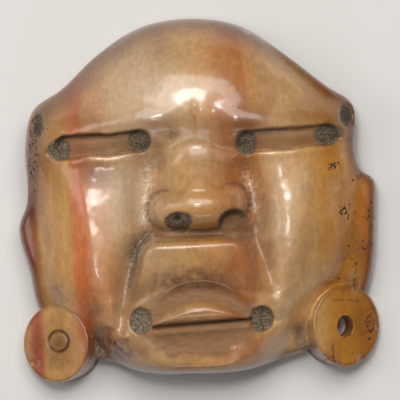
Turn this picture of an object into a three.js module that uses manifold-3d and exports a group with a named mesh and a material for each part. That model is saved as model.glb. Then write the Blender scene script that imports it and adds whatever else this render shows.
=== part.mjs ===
// A carved shell face pendant, lying on its hollowed back with the face up.
// Millimetres: +X to the viewer's right, +Y towards the forehead, +Z out of the face.
// The origin is under the middle of the whole outline, on the flat ground rim of the back.
// The face, its side ledges and its two ear discs are one piece of shell.

import * as THREE from "three";
import { mergeVertices } from "three/addons/utils/BufferGeometryUtils.js";
import Module from "manifold-3d";

// Driving dimensions of the slab
const EDGE_HEIGHT = 4.3; // where the rounded face meets the outline
const ROUNDING = 11.5; // how far in from the outline the face is rounded over
const FACE_LEVEL = 13.3; // general level of the face above the back
const CUTTER_LENGTH = 30; // longer than the slab is thick
const GRID = { fine: 0.76, coarse: 1.7, reach: 29.5 };
const FACE_ZONE = { left: -13.6, right: 14.2, low: -24.2, high: 11.6 };

// Whole outline without the discs, anticlockwise from the notch over the right ledge
const OUTLINE = [
  [24.9, 4.9], [24.1, 7.7], [24.2, 12.8], [23.4, 15.3], [19.8, 17.6], [13.6, 22.3], [6.6, 26.9], [-0.8, 28.2],
  [-8.9, 26.9], [-15.7, 22.6], [-21.3, 17.2], [-25.8, 13.9], [-27.0, 8.3], [-26.6, 2.8], [-26.7, -0.5],
  [-27.95, -4.4], [-26.2, -11.2], [-25.0, -16.5], [-22.2, -20.8], [-16.6, -24.5], [-13.4, -25.0],
  [-9.2, -26.6], [0.1, -26.9], [8.2, -26.2], [13.1, -24.3], [17.2, -23.0], [23.7, -18.3], [26.5, -12.9],
  [27.3, -0.8], [27.1, 3.1],
];

// Foot of the rounded face: it leaves the outline where the ledges and the webs of the discs lie
const FACE_FOOT = [
  ...OUTLINE.slice(0, 14),
  [-25.6, -1.5], [-24.6, -8.0], [-23.6, -14.0], [-20.5, -18.4], [-16.3, -21.6], [-13.6, -24.2],
  [-9.2, -26.6], [0.1, -26.9], [8.2, -26.2], [12.9, -23.9], [16.2, -20.2], [19.0, -15.6],
  [22.0, -9.5], [24.0, -2.0],
];

// Ledges beside the face and webs that carry the discs
const SIDE = { top: 7, full: 0, inner: 9, outer: 14, reach: 9, power: 1.5 }; // the face's soft fall to them
const JAW = { full: -13, end: -20 }; // the left side's soft fall ends here
const PLATE = { level: 5.4, edgeRound: 1.1, edgeDrop: 1.6, blend: 1.2 };
const LEFT_LEDGE = { rise: 1.6, foot: -20, full: -9, tiltFrom: -22.5, tilt: 0.35 };
const RIGHT_LEDGE = { rise: 3.2, foot: -17, full: -6, tiltFrom: 20, tilt: 0.35 };
const LEDGE_START = { inner: 8, outer: 14 }; // the rise of the ledges begins under the cheeks

// Broad forms: each swells, or sinks with a negative height, by its height over its reach
const SIDE_FALL = 0.002;
const SWELLINGS = [
  { name: "forehead", x: 0, y: 14.3, reachX: 17.5, reachY: 14, reachLow: 6.5, power: 2, height: 3.3 },
  { name: "under the left lid", x: -16, y: 3.6, reachX: 7, reachY: 2.4, power: 2, height: -0.4 },
  { name: "under the right lid", x: 14, y: 3.8, reachX: 7, reachY: 2.4, power: 2, height: -0.4 },
  { name: "left cheek", x: -17, y: -3.8, reachX: 6.5, reachY: 7, power: 2, height: 0.9 },
  { name: "right cheek", x: 14.4, y: -3.8, reachX: 6.5, reachY: 7, power: 2, height: 0.8 },
  { name: "mouth", x: 0, y: -14, reachX: 10, reachY: 9, power: 4, height: 0.5 },
  { name: "chin", x: 0, y: -27, reachX: 14, reachY: 5.5, power: 4, height: -1.4 },
];
const CHIN_EDGE = { inner: 3, outer: 16, top: -17, full: -23, reach: 3.2, power: 3 }; // rounded more tightly
const NOSE_ROOT = { x: 0, y: 8.6, reachX: 6.5, reachY: 2.2, power: 2, height: -0.5 };
const NOSE_BASE = { x: -0.4, y: -5.1, reachX: 8, reachY: 1.1, power: 4, height: -1.2 };
const BROW = { y: 11.9, rise: 0.02, reach: 2.6, height: 0.8, from: 1.5, full: 6, fade: 14, to: 26 };
const CHEEKS = [{ x: -17, reach: 6, height: 0.5 }, { x: 14.4, reach: 6, height: 0.4 }];
const CHEEK_SPAN = { top: 8.5, topFull: 3, footFull: -14, foot: -23.5 };

// Grooves that part the nose and the lip panel from the cheeks; cheek is the side the cheek is on
const GROOVE = { depth: 3.2, cheekReach: 2.1, noseReach: 2.4, power: 2, start: 0.16, fade: 0.55 };
const GROOVE_CORE = { depth: 1, reach: 1.1, from: 0.4, full: 0.52, fade: 0.88 };
const GROOVES = [
  {
    cheek: 1,
    line: [[-7.0, 9.2], [-7.6, 5.8], [-8.3, 2.0], [-8.6, -2.0], [-8.2, -5.4], [-9.6, -8.0], [-10.8, -11.0],
      [-11.5, -14.5], [-12.0, -17.5], [-12.0, -19.4], [-10.9, -21.2]],
  },
  {
    cheek: -1,
    line: [[6.4, 7.6], [7.2, 4.6], [8.3, 1.0], [8.9, -3.0], [8.9, -6.0], [10.0, -9.0], [11.1, -12.4],
      [12.2, -15.4]],
  },
];

// Nose: a bridge that runs into a cross bar with a rounded tip and two wings
const BRIDGE = { x: -0.1, level: 13.9, top: 8.3, slope: 0.56, low: 1.5, lowFall: 2.5, blend: 0.8 };
const BRIDGE_SIDES = { flat: 0.2, half: 4, drop: 2.8 };
const NOSE_BAR = { from: [-4, -1.5], to: [3.9, -0.6], radius: 3.1, top: 17, drop: 4, wall: 14, blend: 0.3 };
const NOSE_TIP = { x: 0, y: -0.9, rx: 6.2, ry: 3.5, top: 18.6, drop: 4.2 };
const NOSE_WINGS = [
  { x: -4.8, y: -1.5, rx: 2.6, ry: 2.8, top: 16.6, drop: 3.4 },
  { x: 4.7, y: -0.4, rx: 2.5, ry: 2.8, top: 17, drop: 3.6 },
];
const NOSE_BLENDS = { tip: 1.2, wings: 0.2, whole: 0.9, wall: 4 };
const NOSE_NOTCH = { x: 5.3, y: -3.7, rx: 2.3, ry: 2.3, turn: 0, level: 12.7 }; // worn off the right wing

// Lip panel: corners of the trapezoid with the radius of each, and its level
const LIP_PANEL = [
  [-7.9, -6.5, 2.6], [6.4, -5.8, 2.6], [11.3, -16.2, 3.0], [12.2, -20.5, 1.0],
  [11.0, -25.0, 1.0], [-11.0, -25.0, 1.0], [-12.0, -20.5, 1.0], [-11.1, -17.2, 3.0],
];
const PANEL = { level: 15.9, sideFall: 0.004, fall: 4.4, fallFrom: -6.5, fallTo: -21.5 };
const PANEL_BEVEL = { reach: 1.1, drop: 1.4 };
const PANEL_TOP_EDGE = { height: 0.25, from: -9.5, to: -7.6 };
const PANEL_WALL = { slope: 3.5, blend: 0.25 };

// Mouth: an opening under an arch, the lens of the upper lip, the slit and the lower lip
const MOUTH_ARCH = [
  [-9.2, -17.6], [-7.4, -16.0], [-4.2, -14.2], [0.1, -13.2], [4.6, -14.2], [8.0, -16.1], [9.9, -17.4],
];
const MOUTH_FLOOR_EDGE = [
  [10.4, -18.6], [9.4, -20.6], [5.2, -23.0], [0.2, -23.6], [-4.8, -23.2], [-8.7, -21.2], [-9.9, -19.0],
];
const MOUTH = { level: 12.9, slope: 0.85, lowSlope: 2.15, lowFrom: -19.5, lowTo: -22.5, blend: 0.5 };
const UPPER_LIP = [[-7.0, -19.2], [-4.9, -17.3], [0.1, -15.3], [4.6, -16.4], [8.0, -18.3]];
const LIP = { level: 12.4, height: 2.1, round: 2.4, wall: 3, blend: 0.3 };
const MOUTH_LINES = [
  { from: [-6.6, -20.45], to: [7.4, -19.3], reach: 0.62, height: 0.5 },
  { from: [-4.8, -22.3], to: [5.2, -21.6], reach: 1.2, height: -0.3 },
];
const SLIT = { inner: [-7, -19.6], outer: [8, -18.3], halfWidth: 0.22, depth: 0.8 };
const MOUTH_CORNER = { corners: [[9.2, -16.2, 0.6], [13.2, -18.4, 0.6], [9.6, -20.6, 0.6]], depth: 0.9 };
const MOUTH_CORNER_EDGE = { outer: -0.4, inner: 0.7 };

// Soft folds of the cheek around the corners of the mouth
const FOLD_END = 0.2;
const FOLDS = [
  { height: 0.7, reach: 0.9, line: [[-12.9, -14.5], [-13.6, -17.6], [-12.9, -20.2], [-10.6, -22.3]] },
  {
    height: 0.8,
    reach: 0.9,
    line: [[11.4, -15.4], [12.8, -15.9], [13.9, -17.4], [13.8, -19.3], [12.2, -21.0], [10.2, -22.0]],
  },
  { height: 0.4, reach: 1.1, line: [[-16.6, -15.0], [-14.2, -17.2], [-12.6, -20.2]] },
];

// Slot eyes between two drilled ends; the brow above each slot stands over the lid below it
const EYES = [
  { inner: [-9.4, 9.05], outer: [-20.6, 8.1], halfWidth: 1.6, depth: 1.6 },
  { inner: [7.6, 9.0], outer: [19.6, 10.1], halfWidth: 1.65, depth: 1.6 },
];
const EYE = { brow: 0.7, lid: -0.15, reach: 3.2, stepLow: -1.2, stepHigh: 0.6 };
const SLOT = { height: 8, endSides: 10 }; // how far a slot's cutter stands over its floor

// Drilled pits: centre, half width, half height, turn in degrees, depth
const PIT_SIDES = 20;
const PITS = [
  { x: -21.6, y: 7.7, rx: 1.75, ry: 1.75, turn: 0, depth: 2 },
  { x: -9.1, y: 9.1, rx: 1.7, ry: 1.8, turn: 0, depth: 2 },
  { x: 7.2, y: 8.8, rx: 1.65, ry: 1.95, turn: 0, depth: 2 },
  { x: 19.9, y: 10.1, rx: 2.1, ry: 1.65, turn: 7, depth: 2 },
  { x: -9.0, y: -18.6, rx: 1.7, ry: 2.0, turn: 0, depth: 1 },
  { x: 9.7, y: -18.2, rx: 1.75, ry: 2.0, turn: 0, depth: 1 },
  { x: -3.1, y: -3.3, rx: 2.1, ry: 1.5, turn: 0, depth: 1.4 },
  { x: -25.0, y: 11.3, rx: 0.95, ry: 1.8, turn: -8, depth: 1.2 },
  { x: 22.7, y: 13.1, rx: 1.1, ry: 1.75, turn: 6, depth: 1.2 },
];

// Ear discs: rx and ry are the half extents seen from the front, z is the middle of the face.
// The faces slope down outwards, and the walls under them lean inwards a little.
const DISC = { faceSlope: 33, wallLean: 13, sides: 56 };
const LEFT_DISC = { side: -1, x: -22.15, y: -22.2, z: 6.3, rx: 5.1, ry: 6.0 };
const RIGHT_DISC = { side: 1, x: 22.75, y: -19.4, z: 6.3, rx: 5.2, ry: 6.3 };
// The ring that a tube drill cut into the left disc; its places are from the middle of the disc's face
const RING = { x: 0.48, y: 0.35, inner: 1.62, outer: 2.06, depth: 0.5, above: 1, sides: 28 };
const DISC_BORE = { x: 22.6, y: -19.5, rx: 1.5, ry: 1.72, lean: 12, sides: 24 }; // through the right disc

// Hollow of the back
const HOLLOW = { y: 0.6, halfWidth: 19.4, halfHeight: 20.2, depth: 6.4, power: 3, sides: 56, rings: 7 };
const BELOW_BACK = -1.5; // where the feet of the raw blocks and cutters lie
const STOCK = 90; // side of the block that trims everything at the back plane

const LINE_STEPS = { outline: 5, foot: 6, opening: 5, groove: 4, corner: 5 }; // points between two named ones
const CORNER_SHARE = 0.45; // a rounded corner takes up to this share of each side
const SETTLE = { inside: 0.38, outside: 0.62, panel: 0.4 }; // shares of a cell, see settle
const WELD = 1e-5;
const SHELL_COLOUR = 0xc08a58;

// Small maths
const clamp = (t, low, high) => Math.min(Math.max(t, low), high);

function smoothstep(from, to, t) {
  const u = clamp((t - from) / (to - from), 0, 1);
  return u * u * (3 - 2 * u);
}

const bell = (t, width) => Math.exp(-((t / width) ** 2));

function softMax(a, b, blend) {
  const share = clamp(0.5 + (0.5 * (a - b)) / blend, 0, 1);
  return b * (1 - share) + a * share + blend * share * (1 - share);
}

const softMin = (a, b, blend) => -softMax(-a, -b, blend);

// Quarter circle: 0 at the edge (u = 0), 1 where the flat starts (u = 1)
const quarterRound = (u) => Math.sqrt(Math.max(0, 1 - (1 - clamp(u, 0, 1)) ** 2));

// Curves in the plane
function smoothLine(points, steps, closed) {
  const curve = new THREE.CatmullRomCurve3(
    points.map(([x, y]) => new THREE.Vector3(x, y, 0)), closed, "centripetal");
  const spans = closed ? points.length : points.length - 1;
  const line = curve.getPoints(spans * steps).map((p) => [p.x, p.y]);
  if (closed) line.pop();
  return line;
}

function roundedOutline(corners, steps) {
  const line = [];
  corners.forEach(([x, y, radius], i) => {
    const corner = new THREE.Vector2(x, y);
    const before = corners.at(i - 1);
    const after = corners[(i + 1) % corners.length];
    const back = new THREE.Vector2(before[0], before[1]).sub(corner);
    const on = new THREE.Vector2(after[0], after[1]).sub(corner);
    const angle = back.angleTo(on);
    const most = CORNER_SHARE * Math.min(back.length(), on.length());
    const cut = Math.min(radius / Math.tan(angle / 2), most);
    const start = corner.clone().addScaledVector(back.normalize(), cut);
    const end = corner.clone().addScaledVector(on.normalize(), cut);
    const bend = new THREE.QuadraticBezierCurve(start, corner, end);
    bend.getPoints(steps).forEach((p) => line.push([p.x, p.y]));
  });
  return line;
}

// Nearest point of a line: where it is, its distance, the share of the length before it, and
// the side of the line that (x, y) is on
function alongLine(x, y, line, closed = false) {
  const spans = closed ? line.length : line.length - 1;
  let distance = Infinity;
  let nearest = line[0];
  let reached = 0;
  let side = 0;
  let run = 0;
  for (let i = 0; i < spans; i += 1) {
    const [ax, ay] = line[i];
    const [bx, by] = line[(i + 1) % line.length];
    const dx = bx - ax;
    const dy = by - ay;
    const length = Math.hypot(dx, dy);
    const t = clamp(((x - ax) * dx + (y - ay) * dy) / (length * length || 1), 0, 1);
    const here = Math.hypot(x - ax - t * dx, y - ay - t * dy);
    if (here < distance) {
      distance = here;
      nearest = [ax + t * dx, ay + t * dy];
      reached = run + t * length;
      side = Math.sign(dx * (y - ay) - dy * (x - ax));
    }
    run += length;
  }
  return { distance, nearest, share: reached / run, side };
}

function isInside(x, y, line) {
  let inside = false;
  line.forEach(([ax, ay], i) => {
    const [bx, by] = line[(i + 1) % line.length];
    if (ay > y !== by > y && x < ((bx - ax) * (y - ay)) / (by - ay) + ax) inside = !inside;
  });
  return inside;
}

function depthInside(x, y, line) {
  const { distance } = alongLine(x, y, line, true);
  return isInside(x, y, line) ? distance : -distance;
}

function besideSegment(x, y, [ax, ay], [bx, by]) {
  const [dx, dy] = [bx - ax, by - ay];
  const share = clamp(((x - ax) * dx + (y - ay) * dy) / (dx * dx + dy * dy), 0, 1);
  return { distance: Math.hypot(x - ax - share * dx, y - ay - share * dy), share };
}

const outline = smoothLine(OUTLINE, LINE_STEPS.outline, true);
const faceFoot = smoothLine(FACE_FOOT, LINE_STEPS.foot, true);
const lipPanel = roundedOutline(LIP_PANEL, LINE_STEPS.corner);
const mouthOpening = [
  ...smoothLine(MOUTH_ARCH, LINE_STEPS.opening, false),
  ...smoothLine(MOUTH_FLOOR_EDGE, LINE_STEPS.opening, false),
];
const upperLip = smoothLine(UPPER_LIP, LINE_STEPS.opening, false);
const mouthCorner = roundedOutline(MOUTH_CORNER.corners, LINE_STEPS.corner);
const withSmoothLine = (form) => ({ ...form, line: smoothLine(form.line, LINE_STEPS.groove, false) });
const grooves = GROOVES.map(withSmoothLine);
const folds = FOLDS.map(withSmoothLine);

// Forms of the face, as changes to its level at (x, y)
function swelling(form, x, y) {
  const acrossX = Math.abs((x - form.x) / form.reachX) ** form.power;
  const reachY = y < form.y ? form.reachLow ?? form.reachY : form.reachY;
  return form.height * Math.exp(-acrossX - ((y - form.y) / reachY) ** 2);
}

function foreheadAndCheeks(x, y) {
  const across = Math.abs(x);
  let z = FACE_LEVEL - SIDE_FALL * x * x;
  for (const form of SWELLINGS) z += swelling(form, x, y);
  const browSpan = smoothstep(BROW.to, BROW.fade, across) * smoothstep(BROW.from, BROW.full, across);
  z += BROW.height * bell(y - BROW.y - BROW.rise * across, BROW.reach) * browSpan;
  const cheekSpan = smoothstep(CHEEK_SPAN.top, CHEEK_SPAN.topFull, y)
    * smoothstep(CHEEK_SPAN.foot, CHEEK_SPAN.footFull, y);
  for (const cheek of CHEEKS) z += cheekSpan * cheek.height * bell(x - cheek.x, cheek.reach);
  return z;
}

function sideGrooves(x, y) {
  let z = 0;
  for (const { line, cheek } of grooves) {
    const { distance, share, side } = alongLine(x, y, line);
    const span = smoothstep(0, GROOVE.start, share) * (1 - smoothstep(GROOVE.fade, 1, share));
    const reach = side * cheek < 0 ? GROOVE.cheekReach : GROOVE.noseReach;
    z -= GROOVE.depth * span * Math.exp(-((distance / reach) ** GROOVE.power));
    const coreSpan = smoothstep(GROOVE_CORE.from, GROOVE_CORE.full, share)
      * (1 - smoothstep(GROOVE_CORE.fade, 1, share));
    z -= GROOVE_CORE.depth * coreSpan * bell(distance, GROOVE_CORE.reach);
  }
  return z;
}

// A mound with a round shoulder: top in the middle, falling fast outside its edge (u = 1)
function shoulder(u, top, drop, wall) {
  return top - drop * (1 - quarterRound(1 - u)) - Math.max(u - 1, 0) * wall;
}

function moundLevel({ x: cx, y: cy, rx, ry, top, drop }, x, y) {
  return shoulder(Math.hypot((x - cx) / rx, (y - cy) / ry), top, drop, NOSE_BLENDS.wall * drop);
}

function bridgeLevel(x, y) {
  const off = Math.max(Math.abs(x - BRIDGE.x) - BRIDGE_SIDES.flat, 0) / BRIDGE_SIDES.half;
  const level = BRIDGE.level + BRIDGE.slope * (BRIDGE.top - y) - BRIDGE_SIDES.drop * off * off;
  return level - BRIDGE.lowFall * Math.max(BRIDGE.low - y, 0);
}

function noseBarLevel(x, y) {
  const { distance } = besideSegment(x, y, NOSE_BAR.from, NOSE_BAR.to);
  const roll = shoulder(distance / NOSE_BAR.radius, NOSE_BAR.top, NOSE_BAR.drop, NOSE_BAR.wall);
  const middle = softMax(roll, moundLevel(NOSE_TIP, x, y), NOSE_BLENDS.tip);
  const [left, right] = NOSE_WINGS.map((wing) => moundLevel(wing, x, y));
  return softMax(middle, softMax(left, right, NOSE_BLENDS.wings), NOSE_BLENDS.whole);
}

function lipPanelLevel(x, y) {
  const inside = depthInside(x, y, lipPanel);
  const top = PANEL.level - PANEL.sideFall * x * x
    - PANEL.fall * smoothstep(PANEL.fallFrom, PANEL.fallTo, y)
    + PANEL_TOP_EDGE.height * smoothstep(PANEL_TOP_EDGE.from, PANEL_TOP_EDGE.to, y);
  if (inside < 0) return top - PANEL_BEVEL.drop + PANEL_WALL.slope * inside;
  return top - PANEL_BEVEL.drop * (1 - quarterRound(inside / PANEL_BEVEL.reach));
}

function mouthLevel(x, y, level) {
  const inside = depthInside(x, y, mouthOpening);
  const low = smoothstep(MOUTH.lowFrom, MOUTH.lowTo, y);
  const slope = MOUTH.slope * (1 - low) + MOUTH.lowSlope * low;
  const open = smoothstep(-slope, slope, inside);
  let z = level * (1 - open) + softMin(level, MOUTH.level, MOUTH.blend) * open;
  const lip = depthInside(x, y, upperLip);
  const lipLevel = LIP.level + LIP.height * quarterRound(lip / LIP.round) + Math.min(lip, 0) * LIP.wall;
  z = softMax(z, lipLevel, LIP.blend);
  for (const { from, to, reach, height } of MOUTH_LINES) {
    z += height * bell(besideSegment(x, y, from, to).distance, reach);
  }
  for (const { line, height, reach } of folds) {
    const { distance, share } = alongLine(x, y, line);
    z += height * bell(distance, reach) * smoothstep(0, FOLD_END, share) * smoothstep(1, 1 - FOLD_END, share);
  }
  const corner = depthInside(x, y, mouthCorner);
  return z - MOUTH_CORNER.depth * smoothstep(MOUTH_CORNER_EDGE.outer, MOUTH_CORNER_EDGE.inner, corner);
}

function faceLevel(x, y) {
  let z = foreheadAndCheeks(x, y) + sideGrooves(x, y) + swelling(NOSE_ROOT, x, y);
  z = softMax(z, bridgeLevel(x, y), BRIDGE.blend);
  z = softMax(z, noseBarLevel(x, y), NOSE_BAR.blend) + swelling(NOSE_BASE, x, y);
  z = softMax(z, lipPanelLevel(x, y), PANEL_WALL.blend);
  return mouthLevel(x, y, z);
}

function plateLevel(x, y) {
  const side = x < 0 ? LEFT_LEDGE : RIGHT_LEDGE;
  const beyond = Math.max(Math.abs(x) - Math.abs(side.tiltFrom), 0);
  const ledge = side.rise * smoothstep(side.foot, side.full, y) - side.tilt * beyond;
  return PLATE.level + ledge * smoothstep(LEDGE_START.inner, LEDGE_START.outer, Math.abs(x));
}

// 1 where the face falls softly to a ledge, 0 where it is rounded over to the outline
function besideFace(x, y) {
  const side = smoothstep(SIDE.top, SIDE.full, y) * smoothstep(SIDE.inner, SIDE.outer, Math.abs(x));
  return x < 0 ? side * smoothstep(JAW.end, JAW.full, y) : side;
}

// How far the face has risen over its foot: 0 at the foot, 1 where its own level is reached
function faceRise(x, y, fromFoot, beside) {
  const chin = smoothstep(CHIN_EDGE.top, CHIN_EDGE.full, y)
    * smoothstep(CHIN_EDGE.outer, CHIN_EDGE.inner, Math.abs(x));
  const inward = clamp(fromFoot / (ROUNDING + (CHIN_EDGE.reach - ROUNDING) * chin), 0, 1);
  const power = 2 + (CHIN_EDGE.power - 2) * chin;
  const rounded = (1 - (1 - inward) ** power) ** (1 / power);
  const soft = 1 - (1 - clamp(fromFoot / SIDE.reach, 0, 1)) ** SIDE.power;
  return rounded * (1 - beside) + soft * beside;
}

function eyeForms(x, y) {
  let z = 0;
  for (const { inner, outer, halfWidth } of EYES) {
    const { distance, share } = besideSegment(x, y, inner, outer);
    const middle = inner[1] + (outer[1] - inner[1]) * share;
    const above = smoothstep(EYE.stepLow, EYE.stepHigh, y - middle);
    const form = EYE.brow * above + EYE.lid * (1 - above);
    z += form * bell(Math.max(distance - halfWidth, 0), EYE.reach);
  }
  return z;
}

function frontLevel(x, y) {
  const fromEdge = depthInside(x, y, outline);
  const fromFoot = depthInside(x, y, faceFoot);
  const beside = besideFace(x, y);
  const ledge = plateLevel(x, y);
  const foot = EDGE_HEIGHT + (ledge - EDGE_HEIGHT) * beside;
  const rise = (faceLevel(x, y) - foot) * faceRise(x, y, fromFoot, beside);
  const face = foot + rise + Math.min(fromFoot, 0);
  const plate = ledge - PLATE.edgeDrop * (1 - quarterRound(fromEdge / PLATE.edgeRound));
  return softMax(face, plate, PLATE.blend) + eyeForms(x, y);
}

// Solids and booleans
const wasm = await Module();
wasm.setup();

function toSolid(geometry) {
  const bare = geometry.index ? geometry : geometry.clone();
  bare.deleteAttribute("normal");
  bare.deleteAttribute("uv");
  const merged = mergeVertices(bare, WELD);
  return new wasm.Manifold(new wasm.Mesh({
    numProp: 3,
    vertProperties: new Float32Array(merged.attributes.position.array),
    triVerts: new Uint32Array(merged.index.array),
  }));
}

function toGeometry(solid) {
  const mesh = solid.getMesh();
  const geometry = new THREE.BufferGeometry();
  geometry.setAttribute("position", new THREE.BufferAttribute(new Float32Array(mesh.vertProperties), 3));
  geometry.setIndex(new THREE.BufferAttribute(new Uint32Array(mesh.triVerts), 1));
  return geometry;
}

function gridLines(zoneLow, zoneHigh) {
  const lines = [];
  const spread = (from, to, step) => {
    const count = Math.round((to - from) / step);
    for (let i = 0; i < count; i += 1) lines.push(from + ((to - from) * i) / count);
  };
  spread(-GRID.reach, zoneLow, GRID.coarse);
  spread(zoneLow, zoneHigh, GRID.fine);
  spread(zoneHigh, GRID.reach, GRID.coarse);
  lines.push(GRID.reach);
  return lines;
}

function widestStep(lines, i) {
  const before = i > 0 ? lines[i] - lines[i - 1] : 0;
  const after = i + 1 < lines.length ? lines[i + 1] - lines[i] : 0;
  return Math.max(before, after);
}

// Grid points near the outline or the edge of the lip panel move onto it, so that the edge runs
// smoothly. At the outline the shares of a cell are unequal, so that two neighbours never meet.
function settle(x, y, width, height) {
  const isNear = ({ distance, nearest }, share) => {
    const across = Math.max(width * Math.abs(nearest[0] - x), height * Math.abs(nearest[1] - y));
    return distance * distance <= share * across;
  };
  const kept = isInside(x, y, outline);
  const rim = alongLine(x, y, outline, true);
  if (isNear(rim, kept ? SETTLE.inside : SETTLE.outside)) return { place: rim.nearest, kept: true };
  const panel = alongLine(x, y, lipPanel, true);
  return { place: isNear(panel, SETTLE.panel) ? panel.nearest : [x, y], kept };
}

// The carved slab as a closed block: its top follows frontLevel and its foot is below the back
function carvedSlab() {
  const xs = gridLines(FACE_ZONE.left, FACE_ZONE.right);
  const ys = gridLines(FACE_ZONE.low, FACE_ZONE.high);
  const columns = xs.length;
  const points = ys.flatMap((gridY, row) => xs.map((gridX, column) => {
    const { place, kept } = settle(gridX, gridY, widestStep(xs, column), widestStep(ys, row));
    return { x: place[0], y: place[1], z: frontLevel(...place), kept };
  }));
  const triangles = [];
  for (let row = 0; row + 1 < ys.length; row += 1) {
    for (let column = 0; column + 1 < columns; column += 1) {
      const a = row * columns + column;
      const [b, c, d] = [a + 1, a + columns, a + columns + 1];
      const step = Math.abs(points[a].z - points[d].z) - Math.abs(points[b].z - points[c].z);
      const outside = (points[a].kept && points[d].kept ? 0 : 1) - (points[b].kept && points[c].kept ? 0 : 1);
      const alongAD = outside < 0 || (outside === 0 && step <= 0);
      triangles.push(...(alongAD ? [[a, b, d], [a, d, c]] : [[a, b, c], [b, d, c]]));
    }
  }
  const top = triangles.filter((triangle) => triangle.every((corner) => points[corner].kept));
  const edges = new Set(top.flatMap(([a, b, c]) => [`${a} ${b}`, `${b} ${c}`, `${c} ${a}`]));
  const under = points.length;
  const index = top.flatMap(([a, b, c]) => [a, b, c, a + under, c + under, b + under]);
  for (const edge of edges) {
    const [a, b] = edge.split(" ").map(Number);
    if (!edges.has(`${b} ${a}`)) {
      index.push(a, a + under, b + under, a, b + under, b);
    }
  }
  const geometry = new THREE.BufferGeometry();
  const topPlaces = points.flatMap(({ x, y, z }) => [x, y, z]);
  const footPlaces = points.flatMap(({ x, y }) => [x, y, BELOW_BACK]);
  geometry.setAttribute("position", new THREE.Float32BufferAttribute([...topPlaces, ...footPlaces], 3));
  geometry.setIndex(index);
  return toSolid(geometry);
}

const radians = THREE.MathUtils.degToRad;

function ellipseCutter({ x, y, rx, ry, turn, sides = PIT_SIDES }, floor) {
  const geometry = new THREE.CylinderGeometry(1, 1, CUTTER_LENGTH, sides);
  geometry.rotateX(Math.PI / 2).scale(rx, ry, 1).rotateZ(radians(turn));
  return toSolid(geometry.translate(x, y, floor + CUTTER_LENGTH / 2));
}

// A slot is cut square to the slope between its two ends
function slotCutter({ inner, outer, halfWidth, depth }) {
  const start = new THREE.Vector3(...inner, frontLevel(...inner) - depth);
  const end = new THREE.Vector3(...outer, frontLevel(...outer) - depth);
  const along = end.clone().sub(start);
  const length = along.length();
  const shape = new THREE.Shape();
  shape.absarc(0, 0, halfWidth, Math.PI / 2, -Math.PI / 2, false);
  shape.absarc(length, 0, halfWidth, -Math.PI / 2, Math.PI / 2, false);
  const cut = { depth: SLOT.height, bevelEnabled: false, curveSegments: SLOT.endSides };
  const geometry = new THREE.ExtrudeGeometry(shape, cut);
  const xAxis = along.normalize();
  const yAxis = new THREE.Vector3(0, 0, 1).cross(xAxis).normalize();
  const zAxis = xAxis.clone().cross(yAxis);
  geometry.applyMatrix4(new THREE.Matrix4().makeBasis(xAxis, yAxis, zAxis).setPosition(start));
  return toSolid(geometry);
}

// A lobe whose top is the sloping face of the disc and whose foot is below the back
function earDisc({ side, x, y, z, rx, ry }) {
  const geometry = new THREE.CylinderGeometry(1, 1, 2, DISC.sides).rotateX(Math.PI / 2);
  const place = geometry.attributes.position;
  const slope = Math.tan(radians(DISC.faceSlope));
  const lean = Math.tan(radians(DISC.wallLean));
  for (let i = 0; i < place.count; i += 1) {
    const across = place.getX(i) * rx;
    const faceZ = z - side * slope * across;
    const isFace = place.getZ(i) > 0;
    const shift = isFace ? 0 : -side * lean * (faceZ - BELOW_BACK);
    place.setXYZ(i, x + across + shift, y + place.getY(i) * ry, isFace ? faceZ : BELOW_BACK);
  }
  return toSolid(geometry);
}

// Frame of a disc: its own +Z is the outward normal of the disc's face
function discPlace({ side, x, y, z }) {
  return new THREE.Matrix4().makeRotationY(side * radians(DISC.faceSlope)).setPosition(x, y, z);
}

function drilledRing(disc) {
  const { inner, outer, depth, above } = RING;
  const corners = [[inner, -depth], [outer, -depth], [outer, above], [inner, above], [inner, -depth]];
  const profile = corners.map(([r, z]) => new THREE.Vector2(r, z));
  const geometry = new THREE.LatheGeometry(profile, RING.sides).rotateX(Math.PI / 2);
  return toSolid(geometry.translate(RING.x, RING.y, 0).applyMatrix4(discPlace(disc)));
}

function discBore() {
  const geometry = new THREE.CylinderGeometry(1, 1, CUTTER_LENGTH, DISC_BORE.sides);
  geometry.rotateX(Math.PI / 2).scale(DISC_BORE.rx, DISC_BORE.ry, 1).rotateY(radians(DISC_BORE.lean));
  return toSolid(geometry.translate(DISC_BORE.x, DISC_BORE.y, RIGHT_DISC.z));
}

function backHollow() {
  const profile = [new THREE.Vector2(0, HOLLOW.depth)];
  for (let i = 1; i <= HOLLOW.rings; i += 1) {
    const r = i / HOLLOW.rings;
    profile.push(new THREE.Vector2(r, HOLLOW.depth * (1 - r ** HOLLOW.power)));
  }
  profile.push(new THREE.Vector2(1, BELOW_BACK), new THREE.Vector2(0, BELOW_BACK));
  const geometry = new THREE.LatheGeometry(profile.reverse(), HOLLOW.sides).rotateX(Math.PI / 2);
  return toSolid(geometry.scale(HOLLOW.halfWidth, HOLLOW.halfHeight, 1).translate(0, HOLLOW.y, 0));
}

function maskette() {
  let body = carvedSlab();
  for (const disc of [LEFT_DISC, RIGHT_DISC]) body = body.add(earDisc(disc));
  const aboveBack = new THREE.BoxGeometry(STOCK, STOCK, CUTTER_LENGTH).translate(0, 0, CUTTER_LENGTH / 2);
  body = body.intersect(toSolid(aboveBack));
  for (const slot of [...EYES, SLIT]) body = body.subtract(slotCutter(slot));
  for (const pit of PITS) body = body.subtract(ellipseCutter(pit, frontLevel(pit.x, pit.y) - pit.depth));
  body = body.subtract(ellipseCutter(NOSE_NOTCH, NOSE_NOTCH.level));
  body = body.subtract(drilledRing(LEFT_DISC));
  body = body.subtract(discBore());
  body = body.subtract(backHollow());
  const mesh = new THREE.Mesh(
    toGeometry(body),
    new THREE.MeshStandardMaterial({ color: SHELL_COLOUR, roughness: 0.28, metalness: 0 }),
  );
  mesh.name = "maskette";
  return mesh;
}

const group = new THREE.Group();
group.add(maskette());

export default group;
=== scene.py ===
import math

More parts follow.
